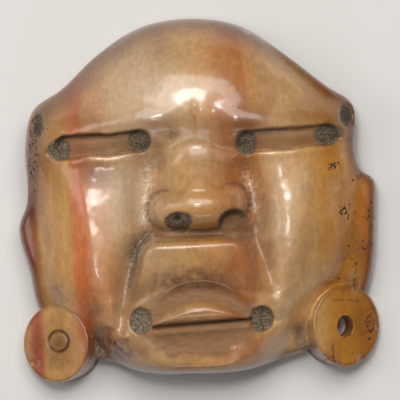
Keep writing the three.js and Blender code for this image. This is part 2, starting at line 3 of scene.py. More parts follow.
import bpy
import numpy as np
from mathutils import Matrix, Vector
from mathutils.geometry import delaunay_2d_cdt


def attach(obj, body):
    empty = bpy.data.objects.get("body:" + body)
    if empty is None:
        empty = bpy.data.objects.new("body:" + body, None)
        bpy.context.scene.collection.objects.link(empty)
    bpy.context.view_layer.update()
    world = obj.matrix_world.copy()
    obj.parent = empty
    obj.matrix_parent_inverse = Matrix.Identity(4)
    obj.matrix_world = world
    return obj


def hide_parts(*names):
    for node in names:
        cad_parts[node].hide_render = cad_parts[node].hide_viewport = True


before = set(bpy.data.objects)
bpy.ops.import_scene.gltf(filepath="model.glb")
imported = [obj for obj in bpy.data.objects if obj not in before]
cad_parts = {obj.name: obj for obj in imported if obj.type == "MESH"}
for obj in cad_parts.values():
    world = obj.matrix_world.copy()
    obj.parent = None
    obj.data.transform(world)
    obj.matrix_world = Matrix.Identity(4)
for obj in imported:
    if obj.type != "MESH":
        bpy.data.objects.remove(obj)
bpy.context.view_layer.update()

# Everything is worked out in millimetres, as in the CAD part, and scaled once, on the way in
MM = 0.001
CELL = 0.19  # spacing of the front's grid
REACH = 28.6  # the grid's half side


def table(names, *rows):
    return [dict(zip(names.split(), row)) for row in rows]


# Driving dimensions of the slab
EDGE_HEIGHT = 4.3
ROUNDING = 11.5
FACE_LEVEL = 13.3

# Whole outline without the discs, anticlockwise from the notch over the right ledge
OUTLINE = [
    (24.9, 4.9), (24.1, 7.7), (24.2, 12.8), (23.4, 15.3), (19.8, 17.6), (13.6, 22.3), (6.6, 26.9),
    (-0.8, 28.2), (-8.9, 26.9), (-15.7, 22.6), (-21.3, 17.2), (-25.8, 13.9), (-27.0, 8.3), (-26.6, 2.8),
    (-26.7, -0.5), (-27.95, -4.4), (-26.2, -11.2), (-25.0, -16.5), (-22.2, -20.8), (-16.6, -24.5),
    (-13.4, -25.0), (-9.2, -26.6), (0.1, -26.9), (8.2, -26.2), (13.1, -24.3), (17.2, -23.0),
    (23.7, -18.3), (26.5, -12.9), (27.3, -0.8), (27.1, 3.1),
]

# Foot of the rounded face: it leaves the outline where the ledges and the webs of the discs lie
FACE_FOOT = OUTLINE[:14] + [
    (-25.6, -1.5), (-24.6, -8.0), (-23.6, -14.0), (-20.5, -18.4), (-16.3, -21.6), (-13.6, -24.2),
    (-9.2, -26.6), (0.1, -26.9), (8.2, -26.2), (12.9, -23.9), (16.2, -20.2), (19.0, -15.6),
    (22.0, -9.5), (24.0, -2.0),
]

# Ledges beside the face and webs that carry the discs
SIDE = dict(top=7, full=0, inner=9, outer=14, reach=8.2, power=1.6)  # where the face falls softly
JAW = dict(full=-13, end=-20)  # the left side's soft fall ends here
PLATE = dict(level=5.4, edge_round=1.1, edge_drop=1.6, blend=1.2)
LEDGES = table(
    "side rise foot full tilt_from tilt",
    (-1, 1.6, -20, -9, 22.5, 0.35), (1, 3.2, -17, -6, 20, 0.35),
)
LEDGE_START = dict(inner=8, outer=14)  # the rise of the ledges begins under the cheeks

# Broad forms: each swells, or sinks with a negative height, by its height over its reach
SIDE_FALL = 0.002
SWELLINGS = table(
    "x y reach_x reach_y power height reach_low",
    (0, 14.3, 17.5, 14, 2, 3.3, 6.5),  # forehead, with a shorter reach below its middle
    (-0.8, 12.6, 0.5, 1.7, 2, -0.3),  # frown
    (-17.6, -3.2, 6.5, 4.7, 2, 0.46),  # left cheek
    (-16.8, -0.3, 2.4, 1.3, 2, 0.03),  # high on the left cheek
    (-16.8, -3.9, 2.4, 2, 2, -0.05),  # low on the left cheek
    (14.9, -3.4, 6.5, 7, 2, 0.52),  # right cheek
    (14.1, -0.3, 2.2, 2.5, 2, 0.14),  # high on the right cheek
    (0, -14, 10, 9, 4, 0.5),  # mouth
    (0, -27, 14, 5.5, 4, -1.4),  # chin
)
CHIN_EDGE = dict(inner=3, outer=16, top=-17, full=-23, reach=2.2, power=3)
NOSE_ROOT = dict(x=0, y=8.6, reach_x=6.5, reach_y=2.2, power=2, height=-0.5)
NOSE_BASE = dict(x=-0.4, y=-5.1, reach_x=8, reach_y=1.1, power=4, height=-1.2)
BROW = dict(y=11.9, rise=0.02, reach=2.6, height=0.8, start=1.5, full=6, fade=14, end=26)
CHEEKS = table("x reach height", (-17.6, 6, 0.5), (14.9, 6, 0.4))
CHEEK_SPAN = dict(top=10.5, top_full=5.5, foot_full=-14, foot=-23.5)

# Grooves that part the nose and the lip panel from the cheeks
GROOVE = dict(depth=3.2, cheek_reach=2.1, nose_reach=2.4, power=2, start=0.16, fade=0.55)
GROOVE_CORE = dict(depth=1.0, reach=1.1, start=0.4, full=0.52, fade=0.88)
CHATTER_REACH = 1.0  # of the tool marks that sparkle along the grooves
LEFT_GROOVE = [
    (-7.0, 9.2), (-7.6, 5.8), (-8.3, 2.0), (-8.6, -2.0), (-8.2, -5.4), (-9.6, -8.0), (-10.8, -11.0),
    (-11.5, -14.5), (-12.0, -17.5), (-12.0, -19.4), (-10.9, -21.2),
]
RIGHT_GROOVE = [
    (6.4, 7.6), (7.2, 4.6), (8.3, 1.0), (8.9, -3.0), (8.9, -6.0), (10.0, -9.0), (11.1, -12.4), (12.2, -15.4),
]

# Nose: a bridge that runs into a cross bar with a rounded tip and two wings
BRIDGE = dict(x=-0.1, level=13.9, top=8.3, slope=0.56, low=1.5, low_fall=2.5, blend=1.5)
BRIDGE_SIDES = dict(flat=0.2, half=4.0, drop=2.8)
NOSE_BAR = dict(start=(-4.0, -1.5), end=(3.9, -0.6), radius=3.1, top=17, drop=4, wall=14, blend=0.3)
NOSE_TIP = dict(x=0.0, y=-0.9, rx=6.2, ry=3.5, top=18.6, drop=4.2)
NOSE_WINGS = table("x y rx ry top drop", (-4.8, -1.5, 2.6, 2.8, 16.6, 3.4), (4.7, -0.4, 2.5, 2.8, 17, 3.6))
NOSE_BLENDS = dict(tip=1.2, wings=0.2, whole=0.9, wall=4)
NOSE_NOTCH = dict(x=5.3, y=-3.7, rx=2.3, ry=2.3, turn=0, level=12.7, edge=0.25)  # worn off the right wing

# Lip panel: corners of the trapezoid with the radius of each, and its level
LIP_PANEL = [
    (-7.9, -6.5, 2.6), (6.4, -5.8, 2.6), (11.3, -16.2, 3.0), (12.2, -20.5, 1.0),
    (11.0, -25.0, 1.0), (-11.0, -25.0, 1.0), (-12.0, -20.5, 1.0), (-11.1, -17.2, 3.0),
]
PANEL = dict(level=15.9, side_fall=0.004, fall=4.4, fall_from=-6.5, fall_to=-21.5)
PANEL_BEVEL = dict(reach=1.1, drop=1.4)
PANEL_TOP_EDGE = dict(height=0.12, start=-9.5, end=-7.6)
PANEL_WALL = dict(slope=3.5, blend=0.25)

# Mouth: an opening under an arch, the lens of the upper lip, the slit and the lower lip
MOUTH_ARCH = [
    (-9.2, -17.6), (-7.4, -16.0), (-4.2, -14.2), (0.1, -13.2), (4.6, -14.2), (8.0, -16.1), (9.9, -17.4),
]
MOUTH_FLOOR_EDGE = [
    (10.4, -18.6), (9.4, -20.6), (5.2, -23.0), (0.2, -23.6), (-4.8, -23.2), (-8.7, -21.2), (-9.9, -19.0),
]
MOUTH = dict(level=12.9, slope=0.85, low_slope=2.15, low_from=-19.5, low_to=-22.5, blend=0.5)
UPPER_LIP = [(-7.0, -19.2), (-4.9, -17.3), (0.1, -15.3), (4.6, -16.4), (8.0, -18.3)]
LIP = dict(level=12.4, height=2.1, round=2.4, wall=3, blend=0.3)
MOUTH_LINES = table(
    "start end reach height",
    ((-7.0, -19.6), (8.0, -18.3), 0.24, -1.0), ((-6.6, -20.45), (7.4, -19.3), 0.62, 0.5),
    ((-4.8, -22.3), (5.2, -21.6), 1.2, -0.3),
)
MOUTH_CORNER = dict(
    corners=[(9.2, -16.2, 0.6), (13.2, -18.4, 0.6), (9.6, -20.6, 0.6)], depth=0.9, edge=(-0.4, 0.7),
)

# Soft folds of the cheek around the corners of the mouth
FOLD_END = 0.2
FOLDS = table(
    "height reach line",
    (0.7, 0.9, [(-12.9, -14.5), (-13.6, -17.6), (-12.9, -20.2), (-10.6, -22.3)]),
    (0.8, 0.9, [(11.4, -15.4), (12.8, -15.9), (13.9, -17.4), (13.8, -19.3), (12.2, -21.0), (10.2, -22.0)]),
    (0.4, 1.1, [(-16.6, -15.0), (-14.2, -17.2), (-12.6, -20.2)]),
)

# Slot eyes between two drilled ends; the brow above each slot stands over the lid below it
# The fourth column is how dark the painted shadow under the brow is, the fifth how dull the slot's floor is
EYES = table(
    "inner outer half_width dirt film",
    ((-9.4, 9.05), (-20.6, 8.1), 1.6, 0.7, 0.8), ((7.6, 9.0), (19.6, 10.1), 1.65, 0.35, 0.65),
)
EYE = dict(
    depth=2.0, crown=0.75, tilt=0.2, brow=0.7, lid=-0.15, reach=3.2, step=(-1.2, 0.6), edge=0.22, ends=0.1,
)
LID_CREST = dict(height=0.16, off=0.75, reach=0.6)

# Drilled pits with the hardened soil in them: half width, half height, turn, depth to the soil
PITS = table(
    "x y rx ry turn depth",
    (-21.6, 7.7, 1.75, 1.75, 0, 0.5), (-9.1, 9.1, 1.7, 1.8, 0, 0.5), (7.2, 8.8, 1.65, 1.95, 0, 0.5),
    (19.9, 10.1, 2.1, 1.65, 7, 0.5), (-9.0, -18.6, 1.7, 2.0, 0, 0.9), (9.7, -18.2, 1.75, 2.0, 0, 0.9),
    (-3.1, -3.3, 2.1, 1.5, 0, 1.2), (-25.0, 11.3, 0.95, 1.8, -8, 1.0), (22.7, 13.1, 1.1, 1.75, 6, 1.0),
)
SIDE_PITS = PITS[-2:]  # the two high on the sides
PIT_EDGE = 0.2
CRESCENT = dict(reach=0.75, edge=0.2, lean=(-0.35, 0.94), start=(-0.4, 0.5))  # soil in the nose notch
NOSTRIL_HOLE = dict(x=-3.3, y=-2.7, reach=0.5, depth=1.2)

# Soil left along the grooves: the half width of the strip and how whole it is
SOIL_LINES = table(
    "reach share line",
    (0.5, 0.85, [(-7.9, -6.0), (-9.5, -7.3), (-10.3, -10.4), (-10.9, -13.4)]),
    (0.3, 0.6, [(-10.9, -13.4), (-11.5, -15.6), (-11.8, -17.6)]),
    (0.35, 0.5, [(7.6, -4.6), (9.4, -6.6), (10.7, -10.4), (11.5, -13.2)]),
    (0.5, 0.45, [(-5.4, -4.6), (-1.0, -5.2), (3.6, -5.0), (6.6, -5.2)]),
    (0.6, 0.85, [(-15.3, -20.0), (-15.1, -22.3), (-15.4, -25.2)]),
    (0.9, 0.7, [(15.3, -20.0), (15.9, -21.6), (16.6, -23.2)]),
)
SOIL_EDGE = dict(across=(1.3, 0.6), gaps=(-0.4, 0.2), share=2, level=1.2)

# Chips: middle, reach and depth
CHIPS = [
    (7.7, 26.4, 0.7, 0.6), (-19.2, -27.6, 0.6, 0.5), (-25.6, -25.4, 0.8, 0.5), (25.2, -24.6, 0.7, 0.7),
    (21.5, -25.7, 0.9, 0.4), (27.8, -19.6, 0.5, 0.5), (24.2, -13.4, 0.6, 0.4),
]
CHIP_EDGE = (1.2, 0.5)

# Scratches: how strong each is, and its line
SCRATCHES = [
    (0.7, [(20.8, -15.4), (24.7, -15.6)]), (0.8, [(20.6, -22.4), (20.9, -25.0)]),
    (0.7, [(19.4, -25.0), (20.6, -24.0), (21.0, -25.4)]), (0.8, [(17.3, -22.6), (17.7, -23.6)]),
    (0.7, [(25.7, -18.6), (26.2, -19.2)]), (0.5, [(25.0, -21.0), (26.6, -20.2)]),
    (0.5, [(26.3, -17.0), (27.2, -16.6)]), (0.8, [(23.5, 12.0), (24.4, 11.2)]),
    (0.5, [(-0.7, 13.0), (-0.6, 11.0)]), (0.2, [(0.8, 6.2), (3.4, 5.9), (6.0, 5.0)]),
    (0.25, [(-5.0, 11.4), (-2.6, 10.6)]), (0.35, [(4.6, 10.2), (7.2, 10.6)]),
]
SCRATCH = dict(reach=0.11, depth=0.1)

# Ear discs: rx and ry are the half extents seen from the front, z is the middle of the face
DISC = dict(face_slope=33, wall_lean=13, sides=168, edge=0.35)
LEFT_DISC = dict(side=-1, x=-22.15, y=-22.2, z=6.3, rx=5.1, ry=6.0, hub=(-21.75, -21.85))
RIGHT_DISC = dict(side=1, x=22.75, y=-19.4, z=6.3, rx=5.2, ry=6.3, hub=(22.65, -19.5))
RING = dict(inner=(1.54, 1.74), middle=1.84, outer=(2.16, 1.94), depth=0.5, squash=1.15)
DISC_BORE = dict(x=22.6, y=-19.5, rx=1.5, ry=1.72, lean=12, sides=72, rings=24, length=24, lobes=2)

# Hollow of the back
HOLLOW = dict(y=0.6, half_width=19.4, half_height=20.2, depth=6.4, power=3, sides=120, rings=16, calm=0.85)
BACK_ROUND = 0.6
WALL_STEP = 3  # points to either side between which the wall's direction is taken
WALL_STATIONS = [(0, 0.5), (0, 0), (30, 0), (60, 0), (90, 0)]  # turn in degrees, share of the height

# Rings of a disc's face: the shares of its size from, to, and how many; then those of its wall: the
# share of the edge's height, the height on top of that and how far the ring is set in
DISC_RINGS = [(0.02, 0.45, 22), (0.48, 0.93, 12), (0.945, 1, 6)]
DISC_WALL = [(0.66, 0, 0), (0.33, 0, 0), (0, BACK_ROUND, 0), (0, 0.18, 0.25), (0, 0, 0.6)]

# How a line's or a mesh's points are spaced
OUTLINE_STEPS = 8
SOIL_STEPS = 4
CORNER_CUT = 0.45  # the most that a rounded corner takes of a side
SNAP = dict(inside=0.38, outside=0.62)  # how near the outline a grid point moves onto it

# Unevenness: the height, the size and the seed of each layer of noise
SURFACE_WAVE = [(0.05, 3.4, 1), (0.012, 0.9, 2)]
WAVE_START = 2
SOIL_GRAIN = [(0.1, 0.42, 3), (0.07, 0.24, 4)]
PIT_WOBBLE = [(0.07, 0.8, 5)]
HOLLOW_WAVE = [(0.12, 2.2, 6)]
DISC_WAVE = [(0.04, 1.6, 7)]
BORE_WOBBLE = [(0.03, 1.1, 8)]
CHATTER = [(0.05, 0.42, 9)]
BAND_DRIFT = [(0.25, [(0.35, 7.0, 11)]), (0.12, [(0.2, 1.7, 12)])]  # y is squeezed by the first number
PATCH_RIM = [(0.35, 1.4, 13), (0.15, 0.5, 19)]
SOIL_RIM = [(0.5, 0.7, 14), (0.4, 0.3, 15)]
CHIP_RIM = [(0.2, 0.5, 16)]
# wobble of the edge of the painted shadow under each brow
SLOT_SHADE_EDGE = [(0.35, 1.5, 17)]
RING_GAPS = [(1, 1.0, 18)]
FILM_RIM = [(0.5, 1.1, 20)]
SLOT_WOBBLE = [(0.24, 3.4, 21), (0.05, 0.9, 22)]
# gaps in the painted glints
GLINT_SCATTER = [(0.6, 0.25, 23), (0.4, 0.6, 24)]


# Small maths
def smoothstep(start, end, t):
    u = np.clip((t - start) / (end - start), 0, 1)
    return u * u * (3 - 2 * u)


def bell(t, width):
    return np.exp(-(t / width) ** 2)


def soft_max(a, b, blend):
    share = np.clip(0.5 + 0.5 * (a - b) / blend, 0, 1)
    return b * (1 - share) + a * share + blend * share * (1 - share)


def soft_min(a, b, blend):
    return -soft_max(-a, -b, blend)


def quarter_round(u):
    """Quarter circle: 0 at the edge (u = 0), 1 where the flat starts (u = 1)."""
    return np.sqrt(np.clip(1 - (1 - np.clip(u, 0, 1)) ** 2, 0, 1))


def noise(x, y, size, seed):
    """Smooth noise from -1 to 1 whose bumps are about a size across, in millimetres."""
    table = np.random.default_rng(seed).uniform(-1, 1, (256, 256))
    column, row = np.floor(x / size).astype(int), np.floor(y / size).astype(int)
    u, v = smoothstep(0, 1, x / size - column), smoothstep(0, 1, y / size - row)
    near, far = table[row % 256], table[(row + 1) % 256]
    rows = np.arange(len(x))
    low = near[rows, column % 256] * (1 - u) + near[rows, (column + 1) % 256] * u
    high = far[rows, column % 256] * (1 - u) + far[rows, (column + 1) % 256] * u
    return low * (1 - v) + high * v


def noises(x, y, layers):
    return sum(height * noise(x, y, size, seed) for height, size, seed in layers)


def fading_ends(share, length):
    """1 along a line, falling to 0 over that share of it at either end."""
    return smoothstep(0, length, share) * smoothstep(1, 1 - length, share)


def out_from(form, x, y):
    """0 in the middle of an ellipse, 1 on its edge."""
    return np.hypot((x - form["x"]) / form["rx"], (y - form["y"]) / form["ry"])


# Curves in the plane
def smooth_line(points, steps=6, closed=False):
    """Centripetal Catmull-Rom line through the points."""
    p = [np.array(q, float) for q in points]
    if not closed:
        p = [2 * p[0] - p[1]] + p + [2 * p[-1] - p[-2]]
    count = len(p) if closed else len(p) - 3
    first = 0 if closed else 1
    line = []
    for i in range(first, first + count):
        p0, p1, p2, p3 = (p[(i + k) % len(p)] for k in (-1, 0, 1, 2))
        t1 = np.linalg.norm(p1 - p0) ** 0.5
        t2 = t1 + np.linalg.norm(p2 - p1) ** 0.5
        t3 = t2 + np.linalg.norm(p3 - p2) ** 0.5
        for t in np.linspace(t1, t2, steps, endpoint=False):
            a1 = p0 + (p1 - p0) * t / t1
            a2 = p1 + (p2 - p1) * (t - t1) / (t2 - t1)
            a3 = p2 + (p3 - p2) * (t - t2) / (t3 - t2)
            b1 = a1 + (a2 - a1) * t / t2
            b2 = a2 + (a3 - a2) * (t - t1) / (t3 - t1)
            line.append(b1 + (b2 - b1) * (t - t1) / (t2 - t1))
    if not closed:
        line.append(p[-2])
    return np.array(line)


def rounded_outline(corners, steps=6):
    line = []
    for i, (x, y, radius) in enumerate(corners):
        corner = np.array((x, y))
        back = np.array(corners[i - 1][:2]) - corner
        on = np.array(corners[(i + 1) % len(corners)][:2]) - corner
        long_back, long_on = np.linalg.norm(back), np.linalg.norm(on)
        angle = math.acos(back @ on / (long_back * long_on))
        cut = min(radius / math.tan(angle / 2), CORNER_CUT * long_back, CORNER_CUT * long_on)
        start, end = corner + back / long_back * cut, corner + on / long_on * cut
        for t in np.linspace(0, 1, steps + 1):
            line.append((1 - t) ** 2 * start + 2 * t * (1 - t) * corner + t * t * end)
    return np.array(line)


def along_line(x, y, line, closed=False):
    """Distance to the line, the share of its length before the nearest point, the side and that point."""
    distance, reached, side = np.full(x.shape, 1e9), np.zeros(x.shape), np.zeros(x.shape)
    nearest_x, nearest_y = np.zeros(x.shape), np.zeros(x.shape)
    ends = np.roll(line, -1, axis=0) if closed else line[1:]
    run = 0.0
    for (ax, ay), (bx, by) in zip(line, ends):
        dx, dy = bx - ax, by - ay
        length = math.hypot(dx, dy)
        if length < 1e-9:
            continue
        t = np.clip(((x - ax) * dx + (y - ay) * dy) / length ** 2, 0, 1)
        px, py = ax + t * dx, ay + t * dy
        here = np.hypot(x - px, y - py)
        near = here < distance
        distance = np.where(near, here, distance)
        reached = np.where(near, run + t * length, reached)
        side = np.where(near, np.sign(dx * (y - ay) - dy * (x - ax)), side)
        nearest_x, nearest_y = np.where(near, px, nearest_x), np.where(near, py, nearest_y)
        run += length
    return distance, reached / run, side, nearest_x, nearest_y


def is_inside(x, y, line):
    inside = np.zeros(x.shape, bool)
    for (ax, ay), (bx, by) in zip(line, np.roll(line, -1, axis=0)):
        if ay != by:
            inside ^= ((ay > y) != (by > y)) & (x < (bx - ax) * (y - ay) / (by - ay) + ax)
    return inside


def depth_inside(x, y, line):
    distance = along_line(x, y, line, closed=True)[0]
    return np.where(is_inside(x, y, line), distance, -distance)


def beside_segment(x, y, start, end):
    dx, dy = end[0] - start[0], end[1] - start[1]
    share = np.clip(((x - start[0]) * dx + (y - start[1]) * dy) / (dx * dx + dy * dy), 0, 1)
    return np.hypot(x - start[0] - share * dx, y - start[1] - share * dy), share


outline = smooth_line(OUTLINE, OUTLINE_STEPS, closed=True)
face_foot = smooth_line(FACE_FOOT, OUTLINE_STEPS, closed=True)
lip_panel = rounded_outline(LIP_PANEL)
mouth_opening = np.vstack([smooth_line(MOUTH_ARCH), smooth_line(MOUTH_FLOOR_EDGE)])
upper_lip = smooth_line(UPPER_LIP)
mouth_corner = rounded_outline(MOUTH_CORNER["corners"])
left_groove = smooth_line(LEFT_GROOVE)
right_groove = smooth_line(RIGHT_GROOVE)


# Forms of the face, as changes to its level at (x, y)
def swelling(form, x, y):
    across = np.abs((x - form["x"]) / form["reach_x"]) ** form["power"]
    reach = np.where(y < form["y"], form.get("reach_low", form["reach_y"]), form["reach_y"])
    return form["height"] * np.exp(-across - ((y - form["y"]) / reach) ** 2)


def forehead_and_cheeks(x, y):
    across = np.abs(x)
    z = FACE_LEVEL - SIDE_FALL * x * x
    for form in SWELLINGS:
        z += swelling(form, x, y)
    span = smoothstep(BROW["end"], BROW["fade"], across) * smoothstep(BROW["start"], BROW["full"], across)
    z += BROW["height"] * bell(y - BROW["y"] - BROW["rise"] * across, BROW["reach"]) * span
    span = smoothstep(CHEEK_SPAN["top"], CHEEK_SPAN["top_full"], y)
    span *= smoothstep(CHEEK_SPAN["foot"], CHEEK_SPAN["foot_full"], y)
    for cheek in CHEEKS:
        z += span * cheek["height"] * bell(x - cheek["x"], cheek["reach"])
    return z


def side_grooves(x, y):
    z = np.zeros(x.shape)
    for line, nose_side in ((left_groove, 1), (right_groove, -1)):
        distance, share, side = along_line(x, y, line)[:3]
        span = smoothstep(0, GROOVE["start"], share) * (1 - smoothstep(GROOVE["fade"], 1, share))
        reach = np.where(side * nose_side < 0, GROOVE["cheek_reach"], GROOVE["nose_reach"])
        z -= GROOVE["depth"] * span * np.exp(-(distance / reach) ** GROOVE["power"])
        core = smoothstep(GROOVE_CORE["start"], GROOVE_CORE["full"], share)
        core *= 1 - smoothstep(GROOVE_CORE["fade"], 1, share)
        z -= GROOVE_CORE["depth"] * core * bell(distance, GROOVE_CORE["reach"])
        marks = noises(x, y, CHATTER) * bell(distance, CHATTER_REACH)
        z += marks * smoothstep(0, GROOVE["start"], share)
    return z


def shoulder(u, top, drop, wall):
    """A mound with a round shoulder: top in the middle, falling fast outside its edge (u = 1)."""
    return top - drop * (1 - quarter_round(1 - u)) - np.maximum(u - 1, 0) * wall


def mound_level(form, x, y):
    return shoulder(out_from(form, x, y), form["top"], form["drop"], NOSE_BLENDS["wall"] * form["drop"])


def bridge_level(x, y):
    off = np.maximum(np.abs(x - BRIDGE["x"]) - BRIDGE_SIDES["flat"], 0) / BRIDGE_SIDES["half"]
    level = BRIDGE["level"] + BRIDGE["slope"] * (BRIDGE["top"] - y) - BRIDGE_SIDES["drop"] * off * off
    return level - BRIDGE["low_fall"] * np.maximum(BRIDGE["low"] - y, 0)


def nose_bar_level(x, y):
    distance = beside_segment(x, y, NOSE_BAR["start"], NOSE_BAR["end"])[0]
    roll = shoulder(distance / NOSE_BAR["radius"], NOSE_BAR["top"], NOSE_BAR["drop"], NOSE_BAR["wall"])
    left, right = (mound_level(wing, x, y) for wing in NOSE_WINGS)
    middle = soft_max(roll, mound_level(NOSE_TIP, x, y), NOSE_BLENDS["tip"])
    return soft_max(middle, soft_max(left, right, NOSE_BLENDS["wings"]), NOSE_BLENDS["whole"])


def lip_panel_level(x, y):
    inside = depth_inside(x, y, lip_panel)
    top = PANEL["level"] - PANEL["side_fall"] * x * x
    top -= PANEL["fall"] * smoothstep(PANEL["fall_from"], PANEL["fall_to"], y)
    top += PANEL_TOP_EDGE["height"] * smoothstep(PANEL_TOP_EDGE["start"], PANEL_TOP_EDGE["end"], y)
    bevel = PANEL_BEVEL["drop"] * (1 - quarter_round(inside / PANEL_BEVEL["reach"]))
    return top - np.where(inside < 0, PANEL_BEVEL["drop"] - PANEL_WALL["slope"] * inside, bevel)


def mouth_level(x, y, level):
    inside = depth_inside(x, y, mouth_opening)
    low = smoothstep(MOUTH["low_from"], MOUTH["low_to"], y)
    slope = MOUTH["slope"] * (1 - low) + MOUTH["low_slope"] * low
    open_share = smoothstep(-slope, slope, inside)
    z = level * (1 - open_share) + soft_min(level, MOUTH["level"], MOUTH["blend"]) * open_share
    lip = depth_inside(x, y, upper_lip)
    lip_level = LIP["level"] + LIP["height"] * quarter_round(lip / LIP["round"])
    z = soft_max(z, lip_level + np.minimum(lip, 0) * LIP["wall"], LIP["blend"])
    for form in MOUTH_LINES:
        z += form["height"] * bell(beside_segment(x, y, form["start"], form["end"])[0], form["reach"])
    for fold in FOLDS:
        distance, share = along_line(x, y, smooth_line(fold["line"]))[:2]
        z += fold["height"] * bell(distance, fold["reach"]) * fading_ends(share, FOLD_END)
    corner = smoothstep(*MOUTH_CORNER["edge"], depth_inside(x, y, mouth_corner))
    return z - MOUTH_CORNER["depth"] * corner


def face_level(x, y):
    z = forehead_and_cheeks(x, y) + side_grooves(x, y) + swelling(NOSE_ROOT, x, y)
    z = soft_max(z, bridge_level(x, y), BRIDGE["blend"])
    z = soft_max(z, nose_bar_level(x, y), NOSE_BAR["blend"]) + swelling(NOSE_BASE, x, y)
    z = soft_max(z, lip_panel_level(x, y), PANEL_WALL["blend"])
    return mouth_level(x, y, z)


def plate_level(x, y):
    left, right = (
        ledge["rise"] * smoothstep(ledge["foot"], ledge["full"], y)
        - ledge["tilt"] * np.maximum(ledge["side"] * x - ledge["tilt_from"], 0)
        for ledge in LEDGES
    )
    beside = smoothstep(LEDGE_START["inner"], LEDGE_START["outer"], np.abs(x))
    return PLATE["level"] + np.where(x < 0, left, right) * beside


def beyond_slot(eye, x, y):
    """Distance outside a slot with its hand-cut edges, the share along it and the height over its middle."""
    (_, inner_y), (_, outer_y) = eye["inner"], eye["outer"]
    distance, share = beside_segment(x, y, eye["inner"], eye["outer"])
    off = distance - eye["half_width"] + noises(x, y, SLOT_WOBBLE)
    return off, share, y - inner_y - (outer_y - inner_y) * share


def eye_forms(x, y):
    z = np.zeros(x.shape)
    for eye in EYES:
        off, share, up = beyond_slot(eye, x, y)
        above = smoothstep(*EYE["step"], up)
        form = EYE["brow"] * above + EYE["lid"] * (1 - above)
        z += form * bell(np.maximum(off, 0), EYE["reach"])
        crest = bell(off - LID_CREST["off"], LID_CREST["reach"]) * (1 - above)
        z += LID_CREST["height"] * crest * fading_ends(share, EYE["ends"])
        floor = EYE["crown"] * quarter_round(-off / eye["half_width"]) - EYE["tilt"] * up
        z -= (EYE["depth"] - floor) * smoothstep(EYE["edge"], -EYE["edge"], off)
    return z


def beyond(pit, x, y):
    """Distance outside the rim of a pit, with a hand-cut wobble; negative inside it."""
    turn = math.radians(pit["turn"])
    u = (x - pit["x"]) * math.cos(turn) + (y - pit["y"]) * math.sin(turn)
    v = (y - pit["y"]) * math.cos(turn) - (x - pit["x"]) * math.sin(turn)
    size = min(pit["rx"], pit["ry"])
    return (np.hypot(u / pit["rx"], v / pit["ry"]) - 1) * size + noises(x, y, PIT_WOBBLE)


def pit_share(pit, x, y):
    """1 on the soil of a pit, 0 outside its rim."""
    return smoothstep(PIT_EDGE, -PIT_EDGE, beyond(pit, x, y))


def soil_share(x, y):
    share = np.zeros(x.shape)
    for pit in PITS:
        share = np.maximum(share, pit_share(pit, x, y))
    off = beyond(NOSE_NOTCH, x, y)
    high = (x - NOSE_NOTCH["x"]) * CRESCENT["lean"][0] + (y - NOSE_NOTCH["y"]) * CRESCENT["lean"][1]
    reach, edge = CRESCENT["reach"], CRESCENT["edge"]
    crescent = smoothstep(-reach, edge - reach, off) * smoothstep(edge, 0, off)
    share = np.maximum(share, crescent * smoothstep(*CRESCENT["start"], high))
    ragged = noises(x, y, SOIL_RIM)
    for strip in SOIL_LINES:
        off = along_line(x, y, smooth_line(strip["line"], SOIL_STEPS))[0] / strip["reach"]
        kept = ragged + SOIL_EDGE["share"] * strip["share"] - SOIL_EDGE["level"]
        whole = smoothstep(*SOIL_EDGE["across"], off + ragged) * smoothstep(*SOIL_EDGE["gaps"], kept)
        share = np.maximum(share, strip["share"] * whole)
    return share


def scratch_share(x, y):
    share = np.zeros(x.shape)
    for strength, line in SCRATCHES:
        distance = along_line(x, y, np.array(line))[0]
        share = np.maximum(share, strength * bell(distance, SCRATCH["reach"]))
    return share


def worn_off(x, y):
    """What chips and scratches take off the surface."""
    lost = SCRATCH["depth"] * scratch_share(x, y)
    ragged = noises(x, y, CHIP_RIM)
    for middle_x, middle_y, reach, depth in CHIPS:
        distance = np.hypot(x - middle_x, y - middle_y) + ragged
        lost += depth * smoothstep(*CHIP_EDGE, distance / reach)
    return lost


def nostril_share(x, y):
    hole = np.hypot(x - NOSTRIL_HOLE["x"], y - NOSTRIL_HOLE["y"])
    return bell(hole, NOSTRIL_HOLE["reach"])


def front_level(x, y):
    from_edge = depth_inside(x, y, outline)
    from_foot = depth_inside(x, y, face_foot)
    beside = smoothstep(SIDE["top"], SIDE["full"], y) * smoothstep(SIDE["inner"], SIDE["outer"], np.abs(x))
    beside *= np.where(x < 0, smoothstep(JAW["end"], JAW["full"], y), 1)
    chin = smoothstep(CHIN_EDGE["top"], CHIN_EDGE["full"], y)
    chin *= smoothstep(CHIN_EDGE["outer"], CHIN_EDGE["inner"], np.abs(x))
    inward = np.clip(from_foot / (ROUNDING + (CHIN_EDGE["reach"] - ROUNDING) * chin), 0, 1)
    power = 2 + (CHIN_EDGE["power"] - 2) * chin
    rounding = (1 - (1 - inward) ** power) ** (1 / power)
    soft = 1 - (1 - np.clip(from_foot / SIDE["reach"], 0, 1)) ** SIDE["power"]
    rounding = rounding * (1 - beside) + soft * beside
    ledge = plate_level(x, y)
    foot = EDGE_HEIGHT + (ledge - EDGE_HEIGHT) * beside
    face = foot + (face_level(x, y) - foot) * rounding + np.minimum(from_foot, 0)
    plate = ledge - PLATE["edge_drop"] * (1 - quarter_round(from_edge / PLATE["edge_round"]))
    z = soft_max(face, plate, PLATE["blend"]) + eye_forms(x, y)
    z += noises(x, y, SURFACE_WAVE) * smoothstep(0, WAVE_START, from_edge)
    notch = smoothstep(NOSE_NOTCH["edge"], -NOSE_NOTCH["edge"], beyond(NOSE_NOTCH, x, y))
    z += (np.minimum(z, NOSE_NOTCH["level"]) - z) * notch
    for pit in PITS:
        z -= pit["depth"] * pit_share(pit, x, y)
    z -= NOSTRIL_HOLE["depth"] * nostril_share(x, y)
    return z + noises(x, y, SOIL_GRAIN) * soil_share(x, y) - worn_off(x, y)


